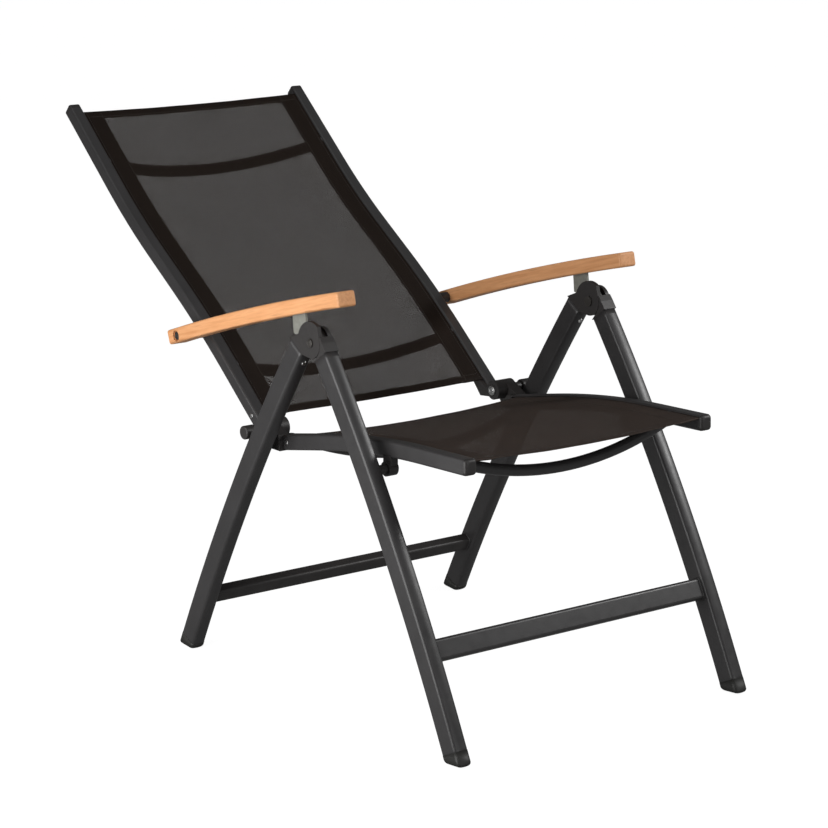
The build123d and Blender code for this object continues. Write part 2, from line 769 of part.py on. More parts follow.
def arm_rack():
    """The notched strip at the top of the groove, under which the bracket's pin stands."""
    middle = sum(bracket_span) / 2
    start, end = arm_rear_reach + groove_start + seat_fit, arm_rear_reach + groove_end - seat_fit
    section = Pos(0, rack_rise) * Rectangle(groove_width - 2 * seat_fit, rack_thickness - seat_fit,
                                            align=(Align.CENTER, Align.MIN))
    rack = arm_route.member(middle, start, end, section)
    count = int((end - start) / rack_notch_pitch)
    for index in range(1, count):
        notch = arm_route.point(start + index * rack_notch_pitch, rack_rise)
        rack -= rod(notch, rack_notch_radius, middle - groove_width, middle + groove_width)
    return rack.solid()


# The pieces, named as they lie on the bench

nodes = {}


def pair(name, piece):
    """A left piece and its mirror image, each in a node of its own."""
    nodes[name + "_left"] = piece
    nodes[name + "_right"] = mirrored(piece)


def both(name, piece):
    """A small fitting and its mirror image in one node."""
    nodes[name] = Compound([piece.solid(), mirrored(piece).solid()])


def front_crossbar():
    y, z, heading = front_leg_route.state(front_leg_route.at_height(front_crossbar_height))
    return hollow_bar(front_crossbar_face, crossbar_depth, crossbar_corner, crossbar_wall, leg_inner_x,
                      (y, z), heading)


def rear_crossbar():
    y, z, heading = rear_leg_route.state(rear_leg_route.at_height(rear_crossbar_height))
    return hollow_bar(rear_crossbar_face, crossbar_depth, crossbar_corner, crossbar_wall, leg_inner_x,
                      (y, z), heading)


def assemble():
    """Fills the table of pieces, body by body."""
    wall_hole = rod(seat_pivot, pivot_pin_radius + running_fit, leg_inner_x - overrun, leg_middle_x - leg_wall)
    pair("front_leg", (leg_tube(front_leg_route, front_leg_end) - wall_hole
                       - rivet_seat(front_rivet_plane)).solid())
    pair("front_foot_cap", foot_cap(front_leg_route))
    pair("front_knuckle", front_knuckle())
    pair("arm_bracket", arm_bracket())
    nodes["front_crossbar"] = front_crossbar()
    both("bracket_pins", bracket_pin())
    both("top_hinge_bolts", hinge_bolt())
    both("seat_pivot_pins", pivot_pin())
    both("seat_pivot_spacers", pivot_spacer())
    both("front_knuckle_rivets", rivet(front_rivet_plane))

    pair("rear_leg", (leg_tube(rear_leg_route, rear_leg_end) - rivet_seat(rear_rivet_plane)).solid())
    pair("rear_foot_cap", foot_cap(rear_leg_route))
    # The hump is on the chair's right of both hinges
    nodes["rear_knuckle_left"] = rear_knuckle(inner_cheek, outer_cheek)
    nodes["rear_knuckle_right"] = mirrored(rear_knuckle(outer_cheek, inner_cheek))
    nodes["rear_crossbar"] = rear_crossbar()
    both("rear_knuckle_rivets", rivet(rear_rivet_plane))

    pair("seat_rail", seat_rail())
    pair("seat_front_cap", end_cap(seat_route, seat_rail_depth, False, seat_cap_height, seat_cap_round))
    pair("seat_hinge_ear", seat_ear())
    pair("seat_pivot_lug", pivot_lug())
    nodes["seat_front_tube"] = bowed_tube(seat_route, front_tube_place, seat_rail_depth, seat_tube_diameter,
                                          seat_tube_bow)
    nodes["seat_rear_tube"] = bowed_tube(seat_route, rear_tube_place, seat_rail_depth, seat_tube_diameter,
                                         seat_tube_bow)
    nodes["seat_sling"] = sling(seat_route, seat_rail_depth, seat_sag, seat_fabric_margin,
                                seat_route.length - seat_fabric_tail)
    both("seat_pivot_bushes", pivot_bush())
    both("seat_rail_rivets", rivet(seat_rivet_plane))

    pair("hinge_axle_bolt", axle_bolt())
    pair("hinge_roller", axle_roller())

    pair("back_rail", back_rail())
    pair("back_top_cap", end_cap(back_route, back_rail_depth, True, top_cap_height, top_cap_round))
    pair("back_hinge_eye", back_eye())
    nodes["back_upper_tube"] = bowed_tube(back_route, upper_tube_place, back_rail_depth, back_tube_diameter,
                                          back_tube_bow)
    nodes["back_lower_tube"] = bowed_tube(back_route, lower_tube_place, back_rail_depth, back_tube_diameter,
                                          back_tube_bow)
    nodes["back_sling"] = sling(back_route, back_rail_depth, back_sag, back_fabric_start,
                                back_route.length - back_fabric_margin)
    both("back_rail_rivets", rivet(back_rivet_plane))

    pair("arm_pivot_bolt", arm_bolt())
    pair("arm_spacer", arm_spacer())
    pair("armrest", armrest())
    pair("arm_rack", arm_rack())


def main():
    """Builds the pieces, moves the origin under the middle of the box and writes one file per node."""
    assemble()
    boxes = [piece.bounding_box() for piece in nodes.values()]
    middle_y = (min(box.min.Y for box in boxes) + max(box.max.Y for box in boxes)) / 2
    os.makedirs("parts", exist_ok=True)
    for name, piece in nodes.items():
        export_step(Pos(0, -middle_y, 0) * piece, os.path.join("parts", name + ".step"))
    print("pieces", len(nodes), "hinge y", round(-middle_y, 3))
    for name, place in (("seat pivot", seat_pivot), ("back hinge", back_hinge), ("arm pivot", arm_pivot),
                        ("arm pin", arm_pin), ("top hinge", hinge)):
        print(name, round(place[0] - middle_y, 3), round(place[1], 3))


main()
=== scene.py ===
"""Looks of the reclining garden armchair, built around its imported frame.

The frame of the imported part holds: +Z is up, the chair faces -Y and its own left side is +X. Sizes
in the classes of the chair's pieces are millimetres, as on a workshop drawing, and meshes are made
in metres. Lengths in the finishes, the lamps and the studio are metres.
"""
from __future__ import annotations

import json
import logging
import math
import random
from dataclasses import dataclass
from enum import Enum
from typing import Iterable, Sequence

import bmesh
import bpy
from mathutils import Matrix, Vector

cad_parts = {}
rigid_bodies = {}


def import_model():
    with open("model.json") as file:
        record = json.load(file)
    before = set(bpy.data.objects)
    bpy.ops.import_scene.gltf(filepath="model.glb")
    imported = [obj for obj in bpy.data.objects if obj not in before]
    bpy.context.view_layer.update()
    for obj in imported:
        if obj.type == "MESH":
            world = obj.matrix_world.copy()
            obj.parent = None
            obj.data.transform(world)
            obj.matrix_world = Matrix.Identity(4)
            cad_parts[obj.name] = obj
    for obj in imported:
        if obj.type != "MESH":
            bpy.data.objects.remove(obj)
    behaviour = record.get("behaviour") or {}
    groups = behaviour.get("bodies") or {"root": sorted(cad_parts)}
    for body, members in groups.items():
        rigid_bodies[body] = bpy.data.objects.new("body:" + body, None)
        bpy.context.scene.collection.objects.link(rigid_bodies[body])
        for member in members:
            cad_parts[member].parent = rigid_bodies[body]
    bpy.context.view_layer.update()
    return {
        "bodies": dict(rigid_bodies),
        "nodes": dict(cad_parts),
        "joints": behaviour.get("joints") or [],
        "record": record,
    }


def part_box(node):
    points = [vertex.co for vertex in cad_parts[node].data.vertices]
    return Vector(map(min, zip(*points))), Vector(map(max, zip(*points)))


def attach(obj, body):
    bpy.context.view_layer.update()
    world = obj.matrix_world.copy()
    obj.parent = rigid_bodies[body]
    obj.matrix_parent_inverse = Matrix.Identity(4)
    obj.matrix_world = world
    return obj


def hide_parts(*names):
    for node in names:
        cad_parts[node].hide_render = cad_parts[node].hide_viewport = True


LOG = logging.getLogger("armchair")
MM = 0.001
SAME_POINT = 1e-7
HALVINGS = 50
Colour = tuple[float, float, float]
Place = tuple[float, float, float]
Point2 = tuple[float, float]
Runs = Sequence[tuple[float, float]]
Row = list[Vector]
Piece = bpy.types.Object
Finish = bpy.types.Material
Socket = bpy.types.NodeSocket


class Side(Enum):
    """The chair's own sides, with the sign of their X."""

    LEFT = 1
    RIGHT = -1

    @property
    def word(self) -> str:
        """The side's word at the end of a name."""
        return self.name.lower()

    def pick(self, word: str, known: Iterable[str]) -> str:
        """The word itself where it is known, and otherwise the word with this side at its end."""
        return word if word in known else f"{word}_{self.word}"


class Slot(Enum):
    """The record's material slots."""

    POWDER = "powder_coat"
    HINGE = "hinge_plastic"
    FOOT = "foot_plastic"
    FABRIC = "sling_fabric"
    TEAK = "teak"
    BRACKET = "bracket_metal"
    STEEL = "steel"
    DARK_STEEL = "dark_steel"


class LampKind(Enum):
    """The lamps that the studio has."""

    SUN = "SUN"
    PANEL = "AREA"


def shares(count: int) -> list[float]:
    """Even shares from 0 to 1, both included."""
    return [k / count for k in range(count + 1)]


def turns(count: int) -> list[float]:
    """Even angles once round a circle, in radians."""
    return [2 * math.pi * k / count for k in range(count)]


def rounded_box(wide: float, deep: float, radius: float, steps: int) -> list[Point2]:
    """A box section with round corners, going round once.

    Args:
        wide: half its width.
        deep: half its depth.
        radius: the corners' radius.
        steps: how many pieces each corner has.

    Returns:
        The outline's points.
    """
    outline: list[Point2] = []
    for quarter, (x_sign, y_sign) in enumerate(((1, 1), (-1, 1), (-1, -1), (1, -1))):
        for share in shares(steps):
            angle = math.pi / 2 * (quarter + share)
            outline.append((x_sign * (wide - radius) + radius * math.cos(angle),
                            y_sign * (deep - radius) + radius * math.sin(angle)))
    return outline


def dome(radius: float, steps: int = 8) -> list[Point2]:
    """How a rounded end draws in, from its full section to its tip.

    Args:
        radius: the end's rounding.
        steps: how many pieces its arc has.

    Returns:
        Pairs of how far the section is drawn in, and how far it is behind the tip.
    """
    leans = [math.pi / 2 * (1 - share) for share in shares(steps)]
    return [(radius * (1 - math.sin(lean)), radius * (1 - math.cos(lean))) for lean in leans]


def measured(points: Sequence[Point2]) -> list[tuple[float, float, float]]:
    """Gives each point of a line its distance along the line.

    Args:
        points: the line's points.

    Returns:
        Rows of a point's two values and its distance.
    """
    made, gone = [], 0.0
    for point, before in zip(points, [points[0], *points]):
        gone += math.dist(point, before)
        made.append((*point, gone))
    return made


def shade(colour: Colour, factor: float) -> Colour:
    """The colour made lighter or darker by a factor."""
    return tuple(factor * part for part in colour)


class Route:
    """A centreline in the side view: straight runs and tangent arcs, with places given by distance."""

    def __init__(self, start: Point2, heading: float, runs: Runs) -> None:
        """Keeps the start, the heading in degrees and the runs.

        Args:
            start: Y and Z of the start.
            heading: the way the route sets out, in degrees from +Y towards +Z.
            runs: pairs of a length and a turn in degrees.
        """
        self.start = start
        self.heading = heading
        self.runs = runs
        self.length = sum(length for length, _ in runs)

    @classmethod
    def bowed(cls, start: Point2, end: Point2, rise: float) -> Route:
        """One arc between two points, with its middle pushed to the right.

        Args:
            start: the arc's first point.
            end: the arc's last point.
            rise: how far the middle is pushed.

        Returns:
            The route along the arc.
        """
        across, up = end[0] - start[0], end[1] - start[1]
        chord = math.hypot(across, up)
        turn = 4 * math.atan2(2 * rise, chord)
        length = chord * turn / (2 * math.sin(turn / 2))
        return cls(start, math.degrees(math.atan2(up, across) - turn / 2), ((length, math.degrees(turn)),))

    def state(self, distance: float) -> tuple[float, float, float]:
        """The route's place and heading.

        Args:
            distance: how far along the route, which goes straight on past its ends.

        Returns:
            Y, Z and the heading in radians.
        """
        y, z = self.start
        heading = math.radians(self.heading)
        left = distance
        for length, turn in self.runs:
            if left <= 0:
                break
            step = min(left, length)
            bend = math.radians(turn) * step / length
            chord = step * math.sin(bend / 2) / (bend / 2) if bend else step
            y += chord * math.cos(heading + bend / 2)
            z += chord * math.sin(heading + bend / 2)
            heading += bend
            left -= step
        return y + left * math.cos(heading), z + left * math.sin(heading), heading

    def place(self, x: float, distance: float, offset: float = 0.0) -> Vector:
        """A point beside the route.

        Args:
            x: the place across the chair.
            distance: how far along the route.
            offset: how far to the right of the way it goes.

        Returns:
            The point in the part's frame.
        """
        y, z, heading = self.state(distance)
        return Vector((x, y + offset * math.sin(heading), z - offset * math.cos(heading)))

    def at_height(self, height: float) -> float:
        """The distance at which the route reaches a height.

        Args:
            height: Z to reach.

        Returns:
            The distance, found by halving.
        """
        low, high = 0.0, self.length
        for _ in range(HALVINGS):
            middle = (low + high) / 2
            if (self.state(middle)[1] < height) == (self.state(self.length)[1] > self.start[1]):
                low = middle
            else:
                high = middle
        return low


class Mesh:
    """Points and faces gathered in millimetres, and turned into one object in metres."""

    tube_up = (0.31, 0.17, 0.94)
    lens_sides = 6

    def __init__(self) -> None:
        """Starts with nothing."""
        self.points: list[Vector] = []
        self.faces: list[tuple[int, ...]] = []
        self.flat: list[Point2] = []

    def rows(self, rows: Sequence[Row], around: bool, caps: bool = False,
             flat: Sequence[Sequence[Point2]] | None = None) -> None:
        """Joins rows of points with quads.

        Args:
            rows: rows of equal length.
            around: True where each row closes on itself.
            caps: True where the first and last rows are closed by a face.
            flat: each point's place on the uncut cloth, in metres.
        """
        base, count = len(self.points), len(rows[0])
        for index, row in enumerate(rows):
            self.points.extend(row)
            self.flat.extend(flat[index] if flat else [(p.x * MM, p.y * MM) for p in row])
        last = count if around else count - 1
        for j in range(len(rows) - 1):
            for i in range(last):
                a, b = base + j * count + i, base + j * count + (i + 1) % count
                self.faces.append((a, b, b + count, a + count))
        if caps:
            self.faces.append(tuple(base + i for i in reversed(range(count))))
            self.faces.append(tuple(base + (len(rows) - 1) * count + i for i in range(count)))

    def tube(self, path: Sequence[Vector], radius: float, sides: int, closed: bool = False) -> None:
        """A round bar along points.

        Args:
            path: the points that it follows.
            radius: its radius.
            sides: how many flats its section has.
            closed: True where the path ends where it starts.
        """
        rows: list[Row] = []
        up = Vector(self.tube_up)
        count = len(path)
        for i, point in enumerate(path):
            ahead = path[(i + 1) % count] if closed or i + 1 < count else point
            behind = path[i - 1] if closed or i else point
            along = (ahead - behind).normalized()
            side = along.cross(up).normalized()
            up = side.cross(along)
            rows.append([point + radius * (math.cos(t) * side + math.sin(t) * up) for t in turns(sides)])
        if closed:
            rows.append(rows[0])
        self.rows(rows, around=True, caps=not closed)

    def lens(self, centre: Vector, along: Vector, across: Vector, size: Vector) -> None:
        """A small rounded lump, such as one stitch.

        Args:
            centre: its middle.
            along: its long way.
            across: its wide way.
            size: half its length, width and height.
        """
        high = along.cross(across)
        rows = []
        for share in shares(self.lens_sides)[1:-1]:
            t = math.pi * share
            middle = centre - size.x * math.cos(t) * along
            rows.append([middle + math.sin(t) * (size.y * math.cos(s) * across + size.z * math.sin(s) * high)
                         for s in turns(self.lens_sides)])
        self.rows(rows, around=True, caps=True)

    def piece(self, name: str, smooth: bool = True, closed: bool = False) -> Piece:
        """Makes the object.

        Args:
            name: the piece's name.
            smooth: True for smooth shading.
            closed: True for a closed form, whose faces are turned outwards.

        Returns:
            The new object, in metres, with the cloth's places as its UV map.
        """
        data = bpy.data.meshes.new(name)
        data.from_pydata([p * MM for p in self.points], [], self.faces)
        layer = data.uv_layers.new(name="flat")
        for loop in data.loops:
            layer.data[loop.index].uv = self.flat[loop.vertex_index]
        for polygon in data.polygons:
            polygon.use_smooth = smooth
        shaper = bmesh.new()
        shaper.from_mesh(data)
        bmesh.ops.remove_doubles(shaper, verts=shaper.verts, dist=SAME_POINT)
        if closed:
            bmesh.ops.recalc_face_normals(shaper, faces=shaper.faces)
        shaper.to_mesh(data)
        shaper.free()
        return put(name, data)


def put(name: str, data: bpy.types.ID) -> Piece:
    """Puts a new object into the scene.

    Args:
        name: its name.
        data: its mesh, lamp or camera.

    Returns:
        The object.
    """
    made = bpy.data.objects.new(name, data)
    bpy.context.scene.collection.objects.link(made)
    return made


@dataclass(frozen=True)
class Grain:
    """Noise: its waves in a metre before any stretch, its finer layers and how strong they are."""

    scale: float
    detail: float = 3.0
    rough: float = 0.5


@dataclass(frozen=True)
class Ramp:
    """What a pattern's values from low to high are turned into, from first to last."""

    low: float
    high: float
    first: float = 0.0
    last: float = 1.0

    def about(self, middle: float) -> Ramp:
        """The same ramp with its results taken from a middle value."""
        return Ramp(self.low, self.high, middle + self.first, middle + self.last)


class Nodes:
    """A builder in one node tree."""

    mix_sockets = {"FLOAT": (2, 3, 0), "RGBA": (6, 7, 2)}

    def __init__(self, tree: bpy.types.NodeTree) -> None:
        """Empties the tree.

        Args:
            tree: the tree of a material or of the world.
        """
        self.tree = tree
        tree.nodes.clear()

    def add(self, kind: str, **settings: object) -> bpy.types.Node:
        """Adds a node.

        Args:
            kind: the node's type name.
            settings: its own settings.

        Returns:
            The node.
        """
        node = self.tree.nodes.new(kind)
        for key, value in settings.items():
            setattr(node, key, value)
        return node

    def feed(self, socket: Socket, value: object) -> None:
        """Links a socket, or sets its value.

        Args:
            socket: the input.
            value: an output socket, a number or a colour.
        """
        if isinstance(value, Socket):
            self.tree.links.new(value, socket)
        elif isinstance(value, tuple) and len(value) == 3 and socket.type == "RGBA":
            socket.default_value = (*value, 1.0)
        else:
            socket.default_value = value

    def maths(self, operation: str, first: object, second: object = 0.0) -> Socket:
        """One sum.

        Args:
            operation: the sum's name.
            first: the first term.
            second: the second term, where there is one.

        Returns:
            The result's socket.
        """
        node = self.add("ShaderNodeMath", operation=operation)
        self.feed(node.inputs[0], first)
        self.feed(node.inputs[1], second)
        return node.outputs[0]

    def mix(self, share: object, first: object, second: object, kind: str = "RGBA") -> Socket:
        """Mixes two colours, or two numbers.

        Args:
            share: how much of the second.
            first: the first colour or number.
            second: the second colour or number.
            kind: RGBA for colours, FLOAT for numbers.

        Returns:
            The result's socket.
        """
        node = self.add("ShaderNodeMix", data_type=kind)
        first_socket, second_socket, result = self.mix_sockets[kind]
        self.feed(node.inputs[0], share)
        self.feed(node.inputs[first_socket], first)
        self.feed(node.inputs[second_socket], second)
        return node.outputs[result]

    def spread(self, value: object, ramp: Ramp) -> Socket:
        """Maps a range to another, and keeps within it.

        Args:
            value: what is mapped.
            ramp: both ranges.

        Returns:
            The result's socket.
        """
        node = self.add("ShaderNodeMapRange")
        for index, number in enumerate((value, ramp.low, ramp.high, ramp.first, ramp.last)):
            self.feed(node.inputs[index], number)
        return node.outputs[0]


class MaterialNodes(Nodes):
    """A builder of one material, with one principled shader."""

    edge_samples = 4
    edge_ramp = Ramp(0.995, 0.9)

    def __init__(self, name: str) -> None:
        """Starts the material.

        Args:
            name: its name.
        """
        self.material = bpy.data.materials.new(name)
        self.material.use_nodes = True
        super().__init__(self.material.node_tree)
        self.shader = self.add("ShaderNodeBsdfPrincipled")
        output = self.add("ShaderNodeOutputMaterial")
        self.tree.links.new(self.shader.outputs["BSDF"], output.inputs["Surface"])

    def places(self, stretch: Sequence[float] = (1.0, 1.0, 1.0), turn: Sequence[float] = (0.0, 0.0, 0.0),
               cloth: bool = False) -> Socket:
        """The point being shaded, in metres of the part's frame or of the flat cloth.

        Args:
            stretch: factors on X, Y and Z, taken after the turn.
            turn: how the piece lies about X, Y and Z, in radians, which is turned back first.
            cloth: True for places on the flat cloth.

        Returns:
            The vector's socket.
        """
        source = self.add("ShaderNodeTexCoord").outputs["UV" if cloth else "Object"]
        node = self.add("ShaderNodeMapping", vector_type="TEXTURE")
        self.feed(node.inputs["Vector"], source)
        node.inputs["Rotation"].default_value = turn
        node.inputs["Scale"].default_value = tuple(1 / factor for factor in stretch)
        return node.outputs[0]

    def noise(self, vector: Socket, grain: Grain) -> Socket:
        """Even noise round one half.

        Args:
            vector: where it is read.
            grain: its scale and detail.

        Returns:
            The noise's socket.
        """
        node = self.add("ShaderNodeTexNoise")
        self.feed(node.inputs["Vector"], vector)
        for key, value in (("Scale", grain.scale), ("Detail", grain.detail), ("Roughness", grain.rough)):
            node.inputs[key].default_value = value
        return node.outputs["Fac"]

    def bump(self, height: Socket, depth: float, strength: float, normal: Socket | None = None) -> Socket:
        """A bumped normal.

        Args:
            height: the relief, from 0 to 1.
            depth: its height in metres.
            strength: how much of it is used.
            normal: the normal that it adds to.

        Returns:
            The normal's socket.
        """
        node = self.add("ShaderNodeBump")
        node.inputs["Strength"].default_value = strength
        node.inputs["Distance"].default_value = depth
        self.feed(node.inputs["Height"], height)
        if normal is not None:
            self.feed(node.inputs["Normal"], normal)
        return node.outputs[0]

    def edges(self, radius: float) -> tuple[Socket, Socket]:
        """Softened edges, and where they are.

        Args:
            radius: how wide the softening is, in metres.

        Returns:
            The softened normal, and a share that is 1 on sharp edges.
        """
        soft = self.add("ShaderNodeBevel", samples=self.edge_samples)
        soft.inputs["Radius"].default_value = radius
        compare = self.add("ShaderNodeVectorMath", operation="DOT_PRODUCT")
        self.feed(compare.inputs[0], soft.outputs[0])
        self.feed(compare.inputs[1], self.add("ShaderNodeNewGeometry").outputs["Normal"])
        return soft.outputs[0], self.spread(compare.outputs["Value"], self.edge_ramp)

    def finished(self, colour: Socket, roughness: Socket, normal: Socket, specular: float = 0.5) -> Finish:
        """Feeds the shader.

        Args:
            colour: the surface's colour.
            roughness: its roughness.
            normal: its normal.
            specular: its specular level, the same all over.

        Returns:
            The material.
        """
        inputs = self.shader.inputs
        for key, value in (("Base Color", colour), ("Roughness", roughness), ("Normal", normal)):
            self.feed(inputs[key], value)
        inputs["Specular IOR Level"].default_value = specular
        return self.material


@dataclass(frozen=True)
class PowderCoat:
    """Charcoal powder coat: fine orange peel, faint dust and edges rubbed a little brighter."""

    name: str = "charcoal_powder_coat"
    base: Colour = (0.036, 0.0345, 0.0350)
    worn: Colour = (0.085, 0.083, 0.082)
    roughness: float = 0.36
    edge: float = 0.0008
    cloud: Grain = Grain(9.0, 4.0, 0.6)
    cloud_ramp: Ramp = Ramp(0.35, 0.7)
    cloud_dark: float = 0.9
    cloud_light: float = 1.12
    dust: Grain = Grain(2600.0, 2.0, 0.6)
    dust_ramp: Ramp = Ramp(0.62, 0.78, 0.0, 0.35)
    dust_light: float = 1.9
    rub: Grain = Grain(160.0, 5.0, 0.7)
    rub_ramp: Ramp = Ramp(0.42, 0.72, 0.05, 0.75)
    gloss: Grain = Grain(55.0, 4.0)
    gloss_ramp: Ramp = Ramp(0.25, 0.75, -0.05, 0.07)
    peel: Grain = Grain(700.0, 2.0)
    peel_dust: float = 0.35
    peel_depth: float = 0.00006
    peel_strength: float = 0.8

    def material(self) -> Finish:
        """Builds the finish.

        Returns:
            The material.
        """
        n = MaterialNodes(self.name)
        at = n.places()
        soft, edge = n.edges(self.edge)
        cloud = n.spread(n.noise(at, self.cloud), self.cloud_ramp)
        coat = n.mix(cloud, shade(self.base, self.cloud_dark), shade(self.base, self.cloud_light))
        dust = n.noise(at, self.dust)
        coat = n.mix(n.spread(dust, self.dust_ramp), coat, shade(self.base, self.dust_light))
        rub = n.maths("MULTIPLY", edge, n.spread(n.noise(at, self.rub), self.rub_ramp))
        gloss = n.spread(n.noise(at, self.gloss), self.gloss_ramp.about(self.roughness))
        peel = n.maths("ADD", n.noise(at, self.peel), n.maths("MULTIPLY", dust, self.peel_dust))
        relief = n.bump(peel, self.peel_depth, self.peel_strength, soft)
        return n.finished(n.mix(rub, coat, self.worn), gloss, relief)


@dataclass(frozen=True)
class MouldedPlastic:
    """Moulded nylon with a spark-eroded grain, flow clouds and polished edges."""

    name: str
    base: Colour
    roughness: float
    pits: float = 1500.0
    pit_depth: float = 0.00005
    pit_strength: float = 0.6
    edge: float = 0.0007
    cloud: Grain = Grain(38.0, 5.0, 0.6)
    cloud_ramp: Ramp = Ramp(0.3, 0.72)
    cloud_dark: float = 0.82
    cloud_light: float = 1.22
    cloud_gloss: Ramp = Ramp(0.0, 1.0, 0.08, -0.05)
    scuff: Grain = Grain(240.0, 4.0, 0.7)
    scuff_ramp: Ramp = Ramp(0.4, 0.75, 0.0, 0.7)
    scuff_light: float = 2.2

    def material(self) -> Finish:
        """Builds the finish.

        Returns:
            The material.
        """
        n = MaterialNodes(self.name)
        at = n.places()
        soft, edge = n.edges(self.edge)
        cloud = n.spread(n.noise(at, self.cloud), self.cloud_ramp)
        body = n.mix(cloud, shade(self.base, self.cloud_dark), shade(self.base, self.cloud_light))
        scuff = n.maths("MULTIPLY", edge, n.spread(n.noise(at, self.scuff), self.scuff_ramp))
        colour = n.mix(scuff, body, shade(self.base, self.scuff_light))
        gloss = n.spread(cloud, self.cloud_gloss.about(self.roughness))
        pits = n.add("ShaderNodeTexVoronoi", feature="SMOOTH_F1")
        n.feed(pits.inputs["Vector"], at)
        pits.inputs["Scale"].default_value = self.pits
        relief = n.bump(pits.outputs["Distance"], self.pit_depth, self.pit_strength, soft)
        return n.finished(colour, gloss, relief)


@dataclass(frozen=True)
class WovenSling:
    """Coated polyester mesh: round yarns woven one over one, with small square gaps between them."""

    name: str
    yarn: Colour = (0.0118, 0.0074, 0.0052)
    pitch: float = 0.0012
    open_share: float = 0.051
    dip_share: float = 0.45
    depth: float = 0.00022
    strength: float = 0.7
    # Painted shade: the yarn darkened in the weave's hollows, whose dark tone also serves the random drift.
    # Painted highlight: the yarn lightened on its crests.
    hollow: float = 0.55
    crest: float = 1.55
    crest_ramp: Ramp = Ramp(0.15, 0.95)
    streak_stretch: Place = (900.0, 16.0, 1.0)
    streak: Grain = Grain(1.0, 2.0)
    streak_ramp: Ramp = Ramp(0.35, 0.7, 0.0, 0.3)
    streak_light: float = 2.1
    drift_stretch: Place = (14.0, 14.0, 14.0)
    drift: Grain = Grain(1.0)
    drift_ramp: Ramp = Ramp(0.3, 0.7, 0.0, 0.25)
    roughness: float = 0.55
    gloss_ramp: Ramp = Ramp(0.0, 1.0, 0.2, -0.06)
    specular: float = 0.14

    def weave(self, n: MaterialNodes) -> tuple[Socket, Socket]:
        """The yarns' relief, and the gaps between them.

        Args:
            n: the material's nodes.

        Returns:
            The relief, from 0 to 1, and a share that is 1 in a gap.
        """
        parts = n.add("ShaderNodeSeparateXYZ")
        n.feed(parts.inputs[0], n.places((1 / self.pitch, 1 / self.pitch, 1.0), cloth=True))
        rim = 0.5 - math.sqrt(self.open_share) / 2
        cells, gaps, crowns = [], [], []
        for way in (parts.outputs["X"], parts.outputs["Y"]):
            cells.append(n.maths("FLOOR", way))
            off = n.maths("ABSOLUTE", n.maths("SUBTRACT", n.maths("FRACT", way), 0.5))
            gaps.append(n.maths("GREATER_THAN", off, rim))
            crowns.append(n.maths("SUBTRACT", 1.0, n.maths("POWER", n.maths("MULTIPLY", off, 2.0), 2.0)))
        odd = n.maths("MODULO", n.maths("ABSOLUTE", n.maths("ADD", *cells)), 2.0)
        yarns = []
        for own, other in (crowns, reversed(crowns)):
            lift = n.maths("ADD", self.dip_share, n.maths("MULTIPLY", other, 1 - self.dip_share))
            yarns.append(n.maths("MULTIPLY", own, lift))
        return n.mix(odd, *yarns, kind="FLOAT"), n.maths("MULTIPLY", *gaps)

    def material(self) -> Finish:
        """Builds the finish.

        Returns:
            The material.
        """
        n = MaterialNodes(self.name)
        relief, gap = self.weave(n)
        # The yarn's colour follows the weave's relief: darker in the hollows, a painted shade, and lighter on
        # the crests, a painted highlight.
        hollow = shade(self.yarn, self.hollow)
        thread = n.mix(n.spread(relief, self.crest_ramp), hollow, shade(self.yarn, self.crest))
        streak = n.noise(n.places(self.streak_stretch, cloth=True), self.streak)
        thread = n.mix(n.spread(streak, self.streak_ramp), thread, shade(self.yarn, self.streak_light))
        drift = n.noise(n.places(self.drift_stretch, cloth=True), self.drift)
        colour = n.mix(n.spread(drift, self.drift_ramp), thread, hollow)
        gloss = n.spread(relief, self.gloss_ramp.about(self.roughness))
        n.feed(n.shader.inputs["Alpha"], n.maths("SUBTRACT", 1.0, gap))
        return n.finished(colour, gloss, n.bump(relief, self.depth, self.strength), self.specular)


